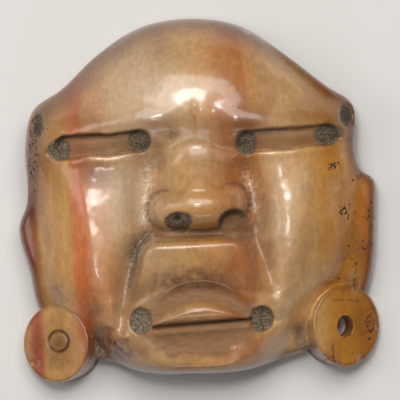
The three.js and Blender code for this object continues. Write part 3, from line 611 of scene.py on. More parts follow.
# Meshes
def made_object(name, points, faces):
    mesh = bpy.data.meshes.new(name)
    mesh.from_pydata(np.asarray(points) * MM, [], faces)
    mesh.validate()
    made = bpy.data.objects.new(name, mesh)
    bpy.context.collection.objects.link(made)
    return made


def settled(x, y):
    """Grid points near the outline move onto it; the others inside it are kept where they are."""
    distance, _, _, nearest_x, nearest_y = along_line(x, y, outline, closed=True)
    inside = is_inside(x, y, outline)
    across = CELL * np.maximum(np.abs(nearest_x - x), np.abs(nearest_y - y))
    snapped = distance ** 2 <= np.where(inside, SNAP["inside"], SNAP["outside"]) * across
    return np.where(snapped, nearest_x, x), np.where(snapped, nearest_y, y), inside | snapped


def ordered_loop(triangles):
    edges = np.vstack([triangles[:, (0, 1)], triangles[:, (1, 2)], triangles[:, (2, 0)]])
    size = edges.max() + 1
    outer = edges[~np.isin(edges[:, 0] * size + edges[:, 1], edges[:, 1] * size + edges[:, 0])]
    following = dict(outer.tolist())
    loop = [int(outer[0, 0])]
    while following[loop[-1]] != loop[0]:
        loop.append(following[loop[-1]])
    if len(loop) != len(outer):
        raise RuntimeError("the front's edge isn't one loop")
    return loop


def bridged(low, high):
    """Faces between two closed loops of the same length, high lying before low on the way in."""
    after_low, after_high = low[1:] + low[:1], high[1:] + high[:1]
    return list(zip(low, after_low, after_high, high))


def add_ring(points, x, y, z):
    """Adds a closed ring of points and gives their numbers."""
    first = len(points)
    points.extend(np.column_stack([x, y, z]).tolist())
    return list(range(first, len(points)))


def front_grid():
    """Points and triangles of the front: a square grid whose outermost points lie on the outline."""
    count = int(round(2 * REACH / CELL)) + 1
    steps = np.linspace(-REACH, REACH, count)
    x, y = (grid.ravel() for grid in np.meshgrid(steps, steps))
    x, y, kept = settled(x, y)
    a = (np.arange(count - 1)[:, None] * count + np.arange(count - 1)[None, :]).ravel()
    b, c, d = a + 1, a + count, a + count + 1
    along_ad = (~kept[a] | ~kept[d]).astype(int) - (~kept[b] | ~kept[c]).astype(int) <= 0
    first = np.where(along_ad[:, None], np.stack([a, b, d], 1), np.stack([a, b, c], 1))
    second = np.where(along_ad[:, None], np.stack([a, d, c], 1), np.stack([b, d, c], 1))
    top = np.vstack([first, second])
    top = top[kept[top].all(axis=1)]
    used = np.unique(top)
    renumbered = np.zeros(len(x), int)
    renumbered[used] = np.arange(len(used))
    return x[used], y[used], renumbered[top]


def add_wall(points, faces, loop):
    """The wall: upright under the rim, then rounded in to the flat of the back, whose edge it gives."""
    rim = np.array([points[i] for i in loop])
    along = np.roll(rim[:, :2], -WALL_STEP, axis=0) - np.roll(rim[:, :2], WALL_STEP, axis=0)
    inward = np.stack([-along[:, 1], along[:, 0]], 1) / np.linalg.norm(along, axis=1)[:, None]
    above = loop
    for angle, share in WALL_STATIONS:
        turn = math.radians(angle)
        x, y = (rim[:, :2] + inward * BACK_ROUND * (1 - math.cos(turn))).T
        low_z = BACK_ROUND * (1 - math.sin(turn))
        below = add_ring(points, x, y, low_z + (rim[:, 2] - low_z) * share)
        faces += bridged(below, above)
        above = below
    return above


def add_hollow(points, faces):
    """The hollow, in rings from its rim, which it gives, to its middle."""
    angles = np.linspace(0, 2 * math.pi, HOLLOW["sides"], endpoint=False)
    rings = []
    for i in range(HOLLOW["rings"]):
        r = 1 - i / HOLLOW["rings"]
        x = HOLLOW["half_width"] * r * np.cos(angles)
        y = HOLLOW["half_height"] * r * np.sin(angles) + HOLLOW["y"]
        z = HOLLOW["depth"] * (1 - r ** HOLLOW["power"])
        z = z + noises(x, y, HOLLOW_WAVE) * smoothstep(1, HOLLOW["calm"], r)
        rings.append(add_ring(points, x, y, z))
    for outer_ring, inner_ring in zip(rings, rings[1:]):
        faces += bridged(inner_ring, outer_ring)
    points.append([0, HOLLOW["y"], HOLLOW["depth"]])
    last = rings[-1]
    faces += [(j, i, len(points) - 1) for i, j in zip(last, last[1:] + last[:1])]
    return rings[0]


def add_back(points, faces, foot, rim):
    """The flat ring of the back, between the foot of the wall and the rim of the hollow."""
    ring_points = foot + rim
    flat = [Vector(points[i][:2]) for i in ring_points]
    edges = [(i, (i + 1) % len(foot)) for i in range(len(foot))]
    edges += [(len(foot) + i, len(foot) + (i + 1) % len(rim)) for i in range(len(rim))]
    made, _, cells, origins, _, _ = delaunay_2d_cdt(flat, edges, [], 1, 1e-6)
    if len(made) != len(flat):
        raise RuntimeError("the back's ring gained or lost points")
    wall_foot = set(foot)
    for cell in cells:
        corners = [ring_points[origins[i][0]] for i in reversed(cell)]
        if wall_foot.intersection(corners):
            faces.append(corners)


def carved_slab():
    x, y, triangles = front_grid()
    points = np.stack([x, y, front_level(x, y)], 1).tolist()
    faces = triangles.tolist()
    foot = add_wall(points, faces, ordered_loop(triangles))
    rim = add_hollow(points, faces)
    add_back(points, faces, foot, rim)
    return made_object("slab", points, faces)


def ear_disc(name, disc):
    """A lobe whose top is the sloping face of the disc; its wall leans in a little towards the back."""
    side = disc["side"]
    slope, lean = math.tan(math.radians(DISC["face_slope"])), math.tan(math.radians(DISC["wall_lean"]))
    angles = np.linspace(0, 2 * math.pi, DISC["sides"], endpoint=False)
    edge_x = disc["x"] + disc["rx"] * np.cos(angles)
    edge_y = disc["y"] + disc["ry"] * np.sin(angles)
    hub_x, hub_y = disc["hub"]
    points, faces, rings = [], [], []

    def face_z(x):
        return disc["z"] - side * slope * (x - disc["x"])

    for share in np.concatenate([np.linspace(*stretch) for stretch in DISC_RINGS]):
        x = hub_x + (edge_x - hub_x) * share
        y = hub_y + (edge_y - hub_y) * share
        rings.append(add_ring(points, x, y, face_relief(disc, x, y, face_z(x))))
    top_z = np.array([points[i][2] for i in rings[-1]])
    for height_share, level, inset in DISC_WALL:
        z = top_z * height_share + level
        x = edge_x - side * lean * (face_z(edge_x) - z) - np.cos(angles) * inset
        y = edge_y - np.sin(angles) * inset
        rings.append(add_ring(points, x, y, z))
    for upper, lower in zip(rings, rings[1:]):
        faces += bridged(lower, upper)
    middle_x, middle_y = np.array([hub_x]), np.array([hub_y])
    add_ring(points, middle_x, middle_y, face_relief(disc, middle_x, middle_y, face_z(middle_x)))
    first, last = rings[0], rings[-1]
    faces += [(i, j, len(points) - 1) for i, j in zip(first, first[1:] + first[:1])]
    faces.append(tuple(reversed(last)))
    return made_object(name, points, faces)


def from_ring_hub(x, y):
    """Distance from the middle of the drilled ring on the left disc's sloping face."""
    hub_x, hub_y = LEFT_DISC["hub"]
    stretch = 1 / math.cos(math.radians(DISC["face_slope"]))
    return np.hypot((x - hub_x) * stretch, (y - hub_y) * RING["squash"])


def face_relief(disc, x, y, z):
    """The disc's face with its rounded edge, and the drilled ring in the left one."""
    from_edge = (1 - out_from(disc, x, y)) * min(disc["rx"], disc["ry"])
    z = z - DISC["edge"] * (1 - quarter_round(from_edge / DISC["edge"]))
    z = z + noises(x, y, DISC_WAVE) * smoothstep(0, 1, from_edge)
    if disc is LEFT_DISC:
        r = from_ring_hub(x, y)
        z = z - RING["depth"] * smoothstep(*RING["inner"], r) * smoothstep(*RING["outer"], r)
    return z - worn_off(x, y)


def bore_cutter():
    angles = np.linspace(0, 2 * math.pi, DISC_BORE["sides"], endpoint=False)
    lean = math.tan(math.radians(DISC_BORE["lean"]))
    points, faces, rings = [], [], []
    for z in np.linspace(-DISC_BORE["length"] / 2, DISC_BORE["length"] / 2, DISC_BORE["rings"]):
        level = np.full(len(angles), z)
        wobble = 1 + noises(angles * DISC_BORE["lobes"], level, BORE_WOBBLE)
        x = DISC_BORE["x"] + DISC_BORE["rx"] * np.cos(angles) * wobble + lean * (z - RIGHT_DISC["z"])
        y = DISC_BORE["y"] + DISC_BORE["ry"] * np.sin(angles) * wobble
        rings.append(add_ring(points, x, y, level))
    for lower, upper in zip(rings, rings[1:]):
        faces += bridged(lower, upper)
    faces.append(tuple(reversed(rings[0])))
    faces.append(tuple(rings[-1]))
    return made_object("bore cutter", points, faces)


def combined(body, tool, operation):
    modifier = body.modifiers.new(operation, "BOOLEAN")
    modifier.object = tool
    modifier.operation = operation
    modifier.solver = "MANIFOLD"
    evaluated = body.evaluated_get(bpy.context.evaluated_depsgraph_get())
    mesh = bpy.data.meshes.new_from_object(evaluated)
    body.modifiers.clear()
    old = body.data
    body.data = mesh
    bpy.data.meshes.remove(old)
    bpy.data.meshes.remove(tool.data)


maskette = carved_slab()
maskette.name = "carved-maskette"
combined(maskette, ear_disc("left disc", LEFT_DISC), "UNION")
combined(maskette, ear_disc("right disc", RIGHT_DISC), "UNION")
combined(maskette, bore_cutter(), "DIFFERENCE")
maskette.data.shade_smooth()


# Where the shell is banded, pitted, stained and soiled, and where painted shade, painted glints and painted
# sheen go, kept on the points of the mesh
def blurred(field, step, reach):
    half = int(CAVITY["span"] * reach / step)
    weights = bell(np.arange(-half, half + 1) * step, reach)
    weights /= weights.sum()
    for _ in range(2):
        padded = np.pad(field, ((half, half), (0, 0)), mode="edge")
        field = sum(w * padded[i:i + len(field)] for i, w in enumerate(weights)).T
    return field


def sampled(field, x, y, step):
    """A field on the square grid of that step, read between its points."""
    column, row = (np.clip((place + REACH) / step, 0, len(field) - 2) for place in (x, y))
    i, j = column.astype(int), row.astype(int)
    u, v = column - i, row - j
    low = field[j, i] * (1 - u) + field[j, i + 1] * u
    return low * (1 - v) + (field[j + 1, i] * (1 - u) + field[j + 1, i + 1] * u) * v


def cavity(x, y, z):
    """How far the front lies under its surroundings, and where the point is on the slab's front."""
    step = 2 * CELL
    steps = np.arange(-REACH, REACH, step)
    grid_x, grid_y = (grid.ravel() for grid in np.meshgrid(steps, steps))
    level = front_level(grid_x, grid_y).reshape(len(steps), len(steps))
    above = z - sampled(level, x, y, step)
    under = sampled(blurred(level, step, CAVITY["reach"]) - level, x, y, step)
    under *= smoothstep(0, CAVITY["edge"], depth_inside(x, y, outline))
    return under, smoothstep(*CAVITY["off_slab"], np.abs(above))


def soft_shade_share(x, y):
    """Painted shade: how far the shell darkens along the outline and the rims of the discs, and in soft
    patches.
    """
    share = 1 - smoothstep(0, 1, depth_inside(x, y, outline) / (RIM_SHADE["reach"] + (y - x) / RIM_SHADE["lean"]))
    for disc in (LEFT_DISC, RIGHT_DISC):
        u = out_from(disc, x, y)
        rim = RIM_SHADE["disc"] * smoothstep(RIM_SHADE["disc_reach"], 0, (1 - u) * disc["rx"])
        share = np.where(u < 1, rim, share)
    return np.clip(share + soft_patches(SOFT_SHADE_PATCHES, x, y), 0, 1)


def matte_share(x, y):
    """Where dirt has dulled the shell: the slots, the mouth around the upper lip and other patches."""
    share = smoothstep(*FILM["mouth"], depth_inside(x, y, mouth_opening) + noises(x, y, FILM_RIM))
    share *= smoothstep(*FILM["lip"], depth_inside(x, y, upper_lip))
    for eye in EYES:
        share = np.maximum(share, eye["film"] * smoothstep(*FILM["slot"], beyond_slot(eye, x, y)[0]))
    share = np.maximum(share, smoothstep(*FILM["notch"], beyond(NOSE_NOTCH, x, y)))
    return np.maximum(share, patched(MATTE_PATCHES, x, y))


def shade_share(x, y):
    """Painted shadow under the brow of each slot and painted shade along its lid, in the two side pits, the
    nostril and the slit of the mouth; a dark line in the disc's ring, and the scratches.
    """
    share = scratch_share(x, y)
    for eye in EYES:
        off, _, up = beyond_slot(eye, x, y)
        high = (up + noises(x, y, SLOT_SHADE_EDGE)) / eye["half_width"]
        under_brow = sum(part * smoothstep(start, full, high) for part, start, full in SHADE["brow"])
        dark = eye["dirt"] * under_brow + SHADE["lid"] * smoothstep(*SHADE["lid_at"], high)
        share = np.maximum(share, dark * smoothstep(*SHADE["slot_at"], off))
    # painted shadow in the two side pits
    for pit in SIDE_PITS:
        share = np.maximum(share, SHADE["pit"] * smoothstep(*SHADE["pit_at"], beyond(pit, x, y)))
    share = np.maximum(share, SHADE["nostril"] * nostril_share(x, y))
    slit = MOUTH_LINES[0]
    distance = beside_segment(x, y, slit["start"], slit["end"])[0]
    share = np.maximum(share, SHADE["slit"] * bell(distance, slit["reach"]))
    ring = SHADE["ring"] * bell(from_ring_hub(x, y) - RING["middle"], SHADE["ring_reach"])
    return np.maximum(share, ring * smoothstep(*SHADE["ring_gaps"], noises(x, y, RING_GAPS)))


def painted_glint_share(x, y):
    """Painted glints of the tool marks in the grooves beside the nose."""
    share = np.zeros(x.shape)
    for line, strength in ((left_groove, 1), (right_groove, PAINTED_GLINTS["right"])):
        distance, along = along_line(x, y, line)[:2]
        span = smoothstep(PAINTED_GLINTS["start"], PAINTED_GLINTS["full"], along)
        span *= smoothstep(PAINTED_GLINTS["end"], PAINTED_GLINTS["fade"], along)
        share = np.maximum(share, strength * span * bell(distance, PAINTED_GLINTS["reach"]))
    return PAINTED_GLINTS["share"] * share * smoothstep(*PAINTED_GLINTS["gaps"], noises(x, y, GLINT_SCATTER))


def ovals(patches, x, y):
    """How far out in each patch's ellipse the points lie, and how strong the patch is."""
    for middle_x, middle_y, half_x, half_y, strength in patches:
        yield np.hypot((x - middle_x) / half_x, (y - middle_y) / half_y), strength


def patched(patches, x, y):
    """The share of the strongest patch at each point; each is an ellipse with a ragged rim."""
    share = np.zeros(x.shape)
    ragged = noises(x, y, PATCH_RIM)
    for out, strength in ovals(patches, x, y):
        share = np.maximum(share, strength * smoothstep(*PATCH_EDGE, out + ragged))
    return share


def soft_patches(patches, x, y):
    return sum(strength * bell(out, 1) for out, strength in ovals(patches, x, y))


def paint_points():
    places = np.zeros(len(maskette.data.vertices) * 3, np.float32)
    maskette.data.vertices.foreach_get("co", places)
    x, y, z = places.reshape(-1, 3).T.astype(float) / MM
    front = smoothstep(*POLISHED_FROM, z)
    under, on_slab = cavity(x, y, z)
    drift = sum(noises(x, y * squeeze, layers) for squeeze, layers in BAND_DRIFT)
    shares = dict(
        band=x + BAND_SLANT * y + drift,
        polish=front,
        soil=soil_share(x, y) * front * on_slab,
        # the cavity carries grime and painted shade in the hollows
        cavity=under * front * on_slab,
        # painted shade along the rims and in patches
        soft_shade=soft_shade_share(x, y),
        # paler shell, partly painted sheen
        milk_and_sheen=soft_patches(MILKY_AND_SHEEN, x, y),
        # painted glints along the grooves
        painted_glint=painted_glint_share(x, y) * front * on_slab,
        matte=matte_share(x, y) * front * on_slab,
        # painted shadow and shade, with the scratches
        shade=shade_share(x, y) * front,
        # stains, and painted shade above the arch, under the brows and lids and in the lip hollow
        stain_and_shade=patched(STAINS_AND_SHADE, x, y) * front,
        pitted=patched(PITTED, x, y) * front,
    )
    for name, values in shares.items():
        attribute = maskette.data.attributes.new(name, "FLOAT", "POINT")
        attribute.data.foreach_set("value", np.asarray(values, np.float32))


# Patches of stain, wear, painted shade and painted sheen: middle, half width and half height, and how strong
# it is
STAINS_AND_SHADE = [
    (-12.9, -23.1, 2.8, 2.4, 1.0), (-14.6, -21.2, 1.8, 1.8, 0.7), (-0.5, -12.6, 6.5, 2.4, 0.7),
    (-6.0, 24.5, 2.4, 3.0, 0.3), (-4.1, 10.0, 1.7, 0.8, 0.5), (7.0, 11.9, 1.9, 1.4, 0.45),
    (-15.2, 4.0, 2.6, 1.3, 0.3), (-1.4, -22.8, 4.2, 0.7, 0.5), (-24.0, 5.5, 1.6, 4.0, 0.25),
    (-21.4, -14.6, 2.6, 2.0, 0.3), (-21.9, -25.2, 2.0, 1.6, 0.35), (-25.4, -22.6, 1.5, 3.0, 0.35),
    (21.8, 2.0, 2.5, 2.0, 0.2), (22.6, -13.0, 3.0, 1.2, 0.4), (-8.0, 12.5, 2.0, 1.0, 0.25),
    (-16.2, -17.6, 1.3, 2.2, 0.35), (-26.8, 3.0, 1.2, 6.0, 0.5), (3.5, -10.5, 3.0, 1.2, 0.2),
]
MATTE_PATCHES = [
    (-0.5, -5.1, 6.5, 0.9, 0.75), (6.8, -5.0, 2.4, 1.8, 0.75), (-6.2, 6.0, 1.3, 2.6, 0.5),
    (-15.5, -22.2, 1.5, 3.2, 0.8), (15.8, -21.4, 1.6, 2.3, 0.75), (-9.9, -9.2, 1.2, 4.0, 0.6),
    (10.3, -9.0, 1.3, 4.6, 0.5), (5.7, -3.9, 2.3, 2.0, 0.9), (-0.4, -23.2, 8.0, 1.4, 0.95),
]
# Painted glints of the tool marks along the grooves
PAINTED_GLINTS = dict(
    start=0.04, full=0.14, end=0.75, fade=0.5, reach=1.4, share=0.7, right=0.5, gaps=(-0.15, 0.35),
)
FILM = dict(mouth=(-0.7, 0.9), lip=(0.6, -0.1), slot=(0.15, -0.15), notch=(0.3, -0.2))
# Painted shadow and shade in the slots, the side pits, the nostril and the slit, and the dark line of the
# ring
SHADE = dict(
    brow=[(0.35, -0.2, 0.7), (0.65, 0.6, 0.95)], lid=0.3, lid_at=(-0.8, -0.98), slot_at=(0.2, -0.1),
    pit=0.55, pit_at=(0, -0.5), nostril=0.85, slit=0.9, ring=0.8, ring_reach=0.24, ring_gaps=(-0.8, 0.2),
)
PATCH_EDGE = (1.3, 0.4)
POLISHED_FROM = (1.5, 3.5)
# Painted shade along the outline and the discs' rims, then soft patches of painted shade
RIM_SHADE = dict(reach=3.2, lean=28, disc=0.5, disc_reach=0.8)
SOFT_SHADE_PATCHES = [
    (0.0, -13.6, 8.5, 2.6, 0.5), (-3.0, -15.0, 11.0, 6.0, 0.25), (-23.0, 11.0, 4.5, 5.0, 0.3),
    (-21.5, -23.0, 4.5, 4.5, 0.5), (25.0, -19.5, 2.6, 6.0, 0.45), (-26.2, 3.0, 1.4, 6.0, 0.4),
    (-5.8, 11.8, 3.6, 2.2, 0.55), (6.2, 11.8, 3.6, 2.2, 0.55), (-16.0, -20.5, 3.0, 4.0, 0.3),
    (2.0, -3.0, 6.0, 2.6, 0.3), (15.0, 12.6, 6.0, 1.4, 0.4), (-15.0, 11.8, 6.0, 1.4, 0.35),
    (-10.5, -15.5, 2.4, 3.5, 0.5), (-10.5, -22.5, 4.0, 3.0, 0.4), (-7.0, -6.6, 4.0, 1.6, 0.3),
    (22.3, 12.0, 2.4, 4.0, 0.35), (-17.6, 4.4, 2.6, 3.4, 0.3), (-6.0, 1.6, 1.8, 2.0, 0.35),
    (18.7, 14.2, 3.6, 2.6, 0.45), (-18.6, 13.6, 3.2, 2.8, 0.35), (-14.2, 4.6, 3.0, 1.6, 0.5),
    (0.0, 6.4, 3.0, 2.0, 0.3), (24.6, -9.0, 3.0, 9.0, 0.25), (-7.0, 22.5, 7.0, 3.5, 0.3),
    (-21.7, -21.9, 1.5, 1.5, 0.5),
]
# Paler milky shell, partly painted sheen
MILKY_AND_SHEEN = [
    (-9.0, 17.5, 9.0, 8.0, 0.55), (-12.0, 0.0, 4.5, 6.0, 0.5), (1.0, 7.0, 4.0, 4.0, 0.25),
    (12.0, -4.0, 3.5, 7.0, 0.3), (-10.5, 1.5, 2.5, 3.5, 0.25),
]
PITTED = [
    (26.6, -2.4, 1.0, 3.4, 0.6), (23.4, -2.8, 1.2, 1.0, 0.4), (26.0, -8.0, 1.4, 2.4, 0.5),
    (20.3, 5.3, 1.5, 0.8, 0.8), (24.8, 3.4, 1.5, 1.2, 0.5),
    (24.4, -3.0, 3.0, 6.0, 0.3), (22.0, -1.6, 0.9, 0.9, 0.8), (24.6, -9.5, 2.6, 4.5, 0.35),
    (-25.6, 6.0, 1.1, 6.5, 0.6), (-24.4, 11.0, 1.4, 1.6, 0.5), (-15.6, -22.8, 1.2, 2.8, 0.6),
    (22.7, -19.4, 5.4, 6.4, 0.12), (19.2, -24.4, 2.0, 1.6, 0.5), (26.6, -19.8, 1.2, 3.0, 0.6),
    (-22.0, -22.2, 5.2, 6.2, 0.1), (-12.9, -23.1, 2.6, 2.2, 0.4), (22.0, -12.0, 3.0, 1.4, 0.35),
]
CAVITY = dict(reach=0.8, span=3, edge=1.6, off_slab=(0.9, 0.5))
BAND_SLANT = 0.06
BAND_WARP = 0.8
paint_points()

# Colours of the shell, in red, green and blue up to 255
SHELL_COLOURS = dict(
    straw=(202, 150, 84), sand=(202, 154, 94), cream=(202, 158, 110), rose=(206, 146, 98),
    flame=(204, 112, 54), brick=(178, 88, 54), honey=(196, 138, 78), russet=(176, 108, 52),
    ochre=(192, 126, 38), amber=(184, 112, 30),
)

# Bands of the shell from left to right: where each colour is reached, in millimetres
BANDS = [
    (-28.0, "straw"), (-27.0, "brick"), (-25.9, "brick"), (-24.9, "straw"), (-20.8, "straw"),
    (-19.2, "flame"), (-17.9, "flame"), (-16.5, "rose"), (-14.5, "rose"), (-12.5, "cream"),
    (-6.0, "cream"), (-2.0, "sand"), (2.0, "honey"), (4.4, "russet"), (7.2, "russet"),
    (9.0, "honey"), (11.5, "cream"), (17.0, "sand"), (20.0, "ochre"), (23.0, "ochre"), (25.0, "amber"),
    (28.0, "amber"),
]
# Colours laid over the shell: its clouding, stains, dull film, specks and soil; grime with painted shade in
# the hollows, painted shade and shadow, painted glints and painted sheen
OVERLAYS = dict(
    pale=(226, 186, 138), brown=(144, 90, 50), grime_and_shade=(92, 56, 34), stain_and_shade=(96, 48, 28), film=(158, 118, 80),
    film_dark=(132, 92, 60), shade=(44, 26, 18), speck=(58, 42, 28), soil_dark=(68, 58, 48),
    soil_pale=(150, 132, 108), umber=(162, 142, 120), painted_glint=(220, 206, 184), milk_and_sheen=(208, 184, 156),
)

# Noise of the material: how often it turns in x, y and z, in 1/mm, its detail and its roughness
TEXTURES = dict(
    cloud=((0.16, 0.1, 0.16), 3, 0.5), streak=((0.9, 0.05, 0.3), 4, 0.55), fibre=((4.5, 0.12, 1), 2, 0.5),
    fine=((1.3, 1, 1.3), 4, 0.5), blotch=((0.8, 0.8, 0.8), 5, 0.65), grit=((3.6, 3.6, 3.6), 3, 0.7),
    scrape=((0.7, 2.2, 1), 4, 0.7), chance=((2.2, 1.8, 2.2), 3, 0.6),
)

# Ranges of a value, and what it becomes at their two ends where that isn't 0 and 1
RANGES = dict(
    pale=(0.5, 0.72, 0, 0.4), brown=(0.48, 0.3, 0, 0.45), grime_and_shade=(0.2, 0.7, 0, 0.6), blotch=(0.3, 0.6),
    scrape=(0.4, 0.6, 0.2, 0.7), speck=(0.71, 0.76), earth=(0.36, 0.64), rough=(0, 1, 0.85, 0.44),
    streak=(0.3, 0.7, 0.96, 1.03), fibre=(0.3, 0.7, 0.97, 1.03), fine=(0.3, 0.7, 0.9, 1.07),
)
# How much fine noise breaks up the grime and painted shade of the hollows
GRIME_AND_SHADE_GRAIN = 0.2
PIT_CHANCE = 0.3
COAT = dict(weight=0.9, roughness=0.16)
DEPTH = dict(weight=0.06, radius=(0.7, 0.45, 0.25), scale=1.0)
BUMPS = dict(grit=0.02, streak=0.05, strength=0.5, height=0.15)


def linear(colour):
    shares = [c / 255 for c in colour]
    return [c / 12.92 if c <= 0.04045 else ((c + 0.055) / 1.055) ** 2.4 for c in shares] + [1]


class Shader:
    """Nodes of one material; a value given as an input is set on its socket, and a socket is linked."""

    def __init__(self, name):
        self.material = bpy.data.materials.new(name)
        self.material.use_nodes = True
        self.tree = self.material.node_tree
        self.surface = self.tree.nodes["Principled BSDF"]

    def fill(self, node, inputs):
        for key, value in inputs.items():
            if isinstance(value, bpy.types.NodeSocket):
                self.tree.links.new(value, node.inputs[key])
            else:
                node.inputs[key].default_value = value
        return node

    def add(self, kind, inputs, **settings):
        node = self.tree.nodes.new("ShaderNode" + kind)
        for key, value in settings.items():
            setattr(node, key, value)
        return self.fill(node, inputs)

    def math(self, operation, *values):
        return self.add("Math", dict(enumerate(values)), operation=operation).outputs[0]

    def attribute(self, name):
        return self.add("Attribute", {}, attribute_name=name).outputs["Fac"]

    def texture(self, turns, detail, roughness):
        place = self.add("TexCoord", {}).outputs["Object"]
        scaled = self.add("Mapping", {"Vector": place, "Scale": [turn / MM for turn in turns]})
        inputs = {"Vector": scaled.outputs["Vector"], "Scale": 1, "Detail": detail, "Roughness": roughness}
        return self.add("TexNoise", inputs).outputs["Fac"]

    def between(self, value, low, high, new_low=0, new_high=1):
        inputs = {"Value": value, 1: low, 2: high, 3: new_low, 4: new_high}
        node = self.add("MapRange", inputs, interpolation_type="SMOOTHSTEP")
        return node.outputs["Result"]

    def mix(self, share, first, second, blend="MIX"):
        node = self.add("Mix", {}, data_type="RGBA", blend_type=blend)
        self.fill(node, {0: share, 6: first, 7: second})
        return node.outputs[2]


def banded_colour(shell, streak):
    """The colours of the bands, which the streaks shift to and fro."""
    low, high = BANDS[0][0], BANDS[-1][0]
    warp = shell.math("MULTIPLY_ADD", streak, BAND_WARP, -BAND_WARP / 2)
    place = shell.between(shell.math("ADD", shell.attribute("band"), warp), low, high)
    place.node.interpolation_type = "LINEAR"
    ramp = shell.add("ValToRGB", {"Fac": place})
    stops = ramp.color_ramp.elements
    for at, _ in BANDS[1:-1]:
        stops.new((at - low) / (high - low))
    for stop, (at, name) in zip(stops, BANDS):
        stop.position = (at - low) / (high - low)
        stop.color = linear(SHELL_COLOURS[name])
    return ramp.outputs["Color"]


def shell_material():
    shell = Shader("shell")
    made = {name: shell.texture(*settings) for name, settings in TEXTURES.items()}
    dirt = {name: linear(value) for name, value in OVERLAYS.items()}
    film, soil, shade = (shell.attribute(name) for name in ("matte", "soil", "shade"))

    def ranged(name, value):
        return shell.between(value, *RANGES[name])

    colour = banded_colour(shell, made["streak"])
    for name in ("pale", "brown"):
        colour = shell.mix(ranged(name, made["cloud"]), colour, dirt[name])
    # paler milky shell, partly painted sheen
    colour = shell.mix(shell.attribute("milk_and_sheen"), colour, dirt["milk_and_sheen"])
    for name in ("streak", "fibre", "fine"):
        colour = shell.mix(1.0, colour, ranged(name, made[name]), "MULTIPLY")
    # Painted shade along the outline, the discs' rims and in patches, darkened towards umber
    colour = shell.mix(shell.attribute("soft_shade"), colour, shell.mix(1.0, colour, dirt["umber"], "MULTIPLY"))

    # Grime and painted shade in the hollows, from how far the front lies under its surroundings
    hidden = shell.math("MULTIPLY_ADD", made["fine"], GRIME_AND_SHADE_GRAIN, shell.attribute("cavity"))
    grime_and_shade = ranged("grime_and_shade", hidden)
    # stains with painted shade
    stain_and_shade = shell.math("MULTIPLY", shell.attribute("stain_and_shade"), ranged("blotch", made["blotch"]))
    chance = shell.math("MULTIPLY_ADD", shell.attribute("pitted"), PIT_CHANCE, made["chance"])
    speck = ranged("speck", chance)
    worn = shell.mix(ranged("scrape", made["scrape"]), dirt["film"], dirt["film_dark"])
    earth = shell.mix(ranged("earth", made["grit"]), dirt["soil_dark"], dirt["soil_pale"])
    # Laid over in turn: grime with painted shade, stains with painted shade, film, painted glints, specks,
    # soil and painted shadow
    for share, over in (
        (grime_and_shade, dirt["grime_and_shade"]), (stain_and_shade, dirt["stain_and_shade"]), (film, worn),
        (shell.attribute("painted_glint"), dirt["painted_glint"]), (speck, dirt["speck"]),
        (soil, earth), (shade, dirt["shade"]),
    ):
        colour = shell.mix(share, colour, over)

    dulled = shell.math("MAXIMUM", shell.math("MAXIMUM", soil, speck), shell.math("MAXIMUM", grime_and_shade, film))
    clean = shell.math("SUBTRACT", 1.0, shell.math("MAXIMUM", dulled, shade))
    clean = shell.math("MULTIPLY", clean, shell.attribute("polish"))

    rise = shell.math("MULTIPLY", made["grit"], shell.math("MULTIPLY_ADD", soil, 1.0, BUMPS["grit"]))
    rise = shell.math("ADD", rise, shell.math("MULTIPLY", made["streak"], BUMPS["streak"]))
    rise = shell.math("SUBTRACT", rise, speck)
    inputs = {"Height": rise, "Strength": BUMPS["strength"], "Distance": BUMPS["height"] * MM}
    bump = shell.add("Bump", inputs)
    shell.fill(shell.surface, {
        "Base Color": colour, "Roughness": ranged("rough", clean), "Normal": bump.outputs["Normal"],
        "Coat Weight": shell.math("MULTIPLY", clean, COAT["weight"]), "Coat Roughness": COAT["roughness"],
        "Subsurface Weight": DEPTH["weight"], "Subsurface Radius": DEPTH["radius"],
        "Subsurface Scale": DEPTH["scale"] * MM,
    })
    return shell.material


maskette.data.materials.clear()
maskette.data.materials.append(shell_material())
maskette.data.polygons.foreach_set("material_index", np.zeros(len(maskette.data.polygons), np.int32))

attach(maskette, "root")
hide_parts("maskette")

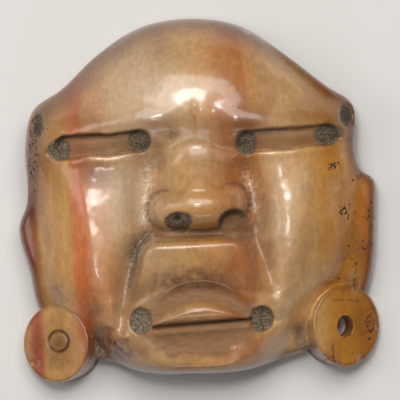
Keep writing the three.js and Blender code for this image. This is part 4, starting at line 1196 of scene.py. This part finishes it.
# Stage
FLOOR = dict(size=3, colour=(0.78, 0.77, 0.75, 1), roughness=0.8)
SURROUNDINGS = dict(colour=(0.85, 0.88, 0.92, 1), strength=0.08)
bpy.ops.mesh.primitive_plane_add(size=FLOOR["size"], location=(0, 0, 0))
floor = bpy.context.object
floor.name = "floor"
floor_material = bpy.data.materials.new("floor")
floor_material.use_nodes = True
floor_shader = floor_material.node_tree.nodes["Principled BSDF"]
floor_shader.inputs["Base Color"].default_value = FLOOR["colour"]
floor_shader.inputs["Roughness"].default_value = FLOOR["roughness"]
floor.data.materials.append(floor_material)


# Area lights: place, width and height, power and colour
WARM = (1, 0.98, 0.95)
LIGHTS = dict(
    key=((-0.045, 0.12, 0.6), (0.12, 0.09), 0.8, WARM),
    second=((-0.04, -0.045, 0.6), (0.05, 0.04), 0.2, WARM),
    overhead=((0.01, 0.28, 0.54), (0.52, 0.3), 2.2, WARM),
    left=((-0.42, 0.08, 0.36), (0.2, 0.3), 0.5, WARM),
    low=((0.05, -0.5, 0.3), (0.3, 0.08), 0.25, (1, 1, 1)),
)
for name, (place, size, power, colour) in LIGHTS.items():
    data = bpy.data.lights.new(name, "AREA")
    data.shape = "RECTANGLE"
    data.size, data.size_y = size
    data.energy = power
    data.color = colour
    light = bpy.data.objects.new(name, data)
    light.location = place
    light.rotation_euler = Vector(place).to_track_quat("Z", "Y").to_euler()
    bpy.context.collection.objects.link(light)

world = bpy.data.worlds.new("studio")
world.use_nodes = True
background = world.node_tree.nodes["Background"]
background.inputs["Color"].default_value = SURROUNDINGS["colour"]
background.inputs["Strength"].default_value = SURROUNDINGS["strength"]
bpy.context.scene.world = world
bpy.context.scene.view_settings.view_transform = "Standard"

# Camera straight above: one pixel of the photo's 400 is 0.155 mm at the level of the outline
PIXEL = 0.155
VIEW = dict(height=0.9, level=0.005, pixels=400, sensor=36, off=(0.75, 0.25), end=10)
camera_data = bpy.data.cameras.new("camera")
camera = bpy.data.objects.new("camera", camera_data)
camera.location = [pixels * PIXEL * MM for pixels in VIEW["off"]] + [VIEW["height"]]
camera_data.sensor_width = VIEW["sensor"]
camera_data.lens = VIEW["sensor"] * (VIEW["height"] - VIEW["level"]) / (VIEW["pixels"] * PIXEL * MM)
camera_data.clip_end = VIEW["end"]
bpy.context.collection.objects.link(camera)
bpy.context.scene.camera = camera
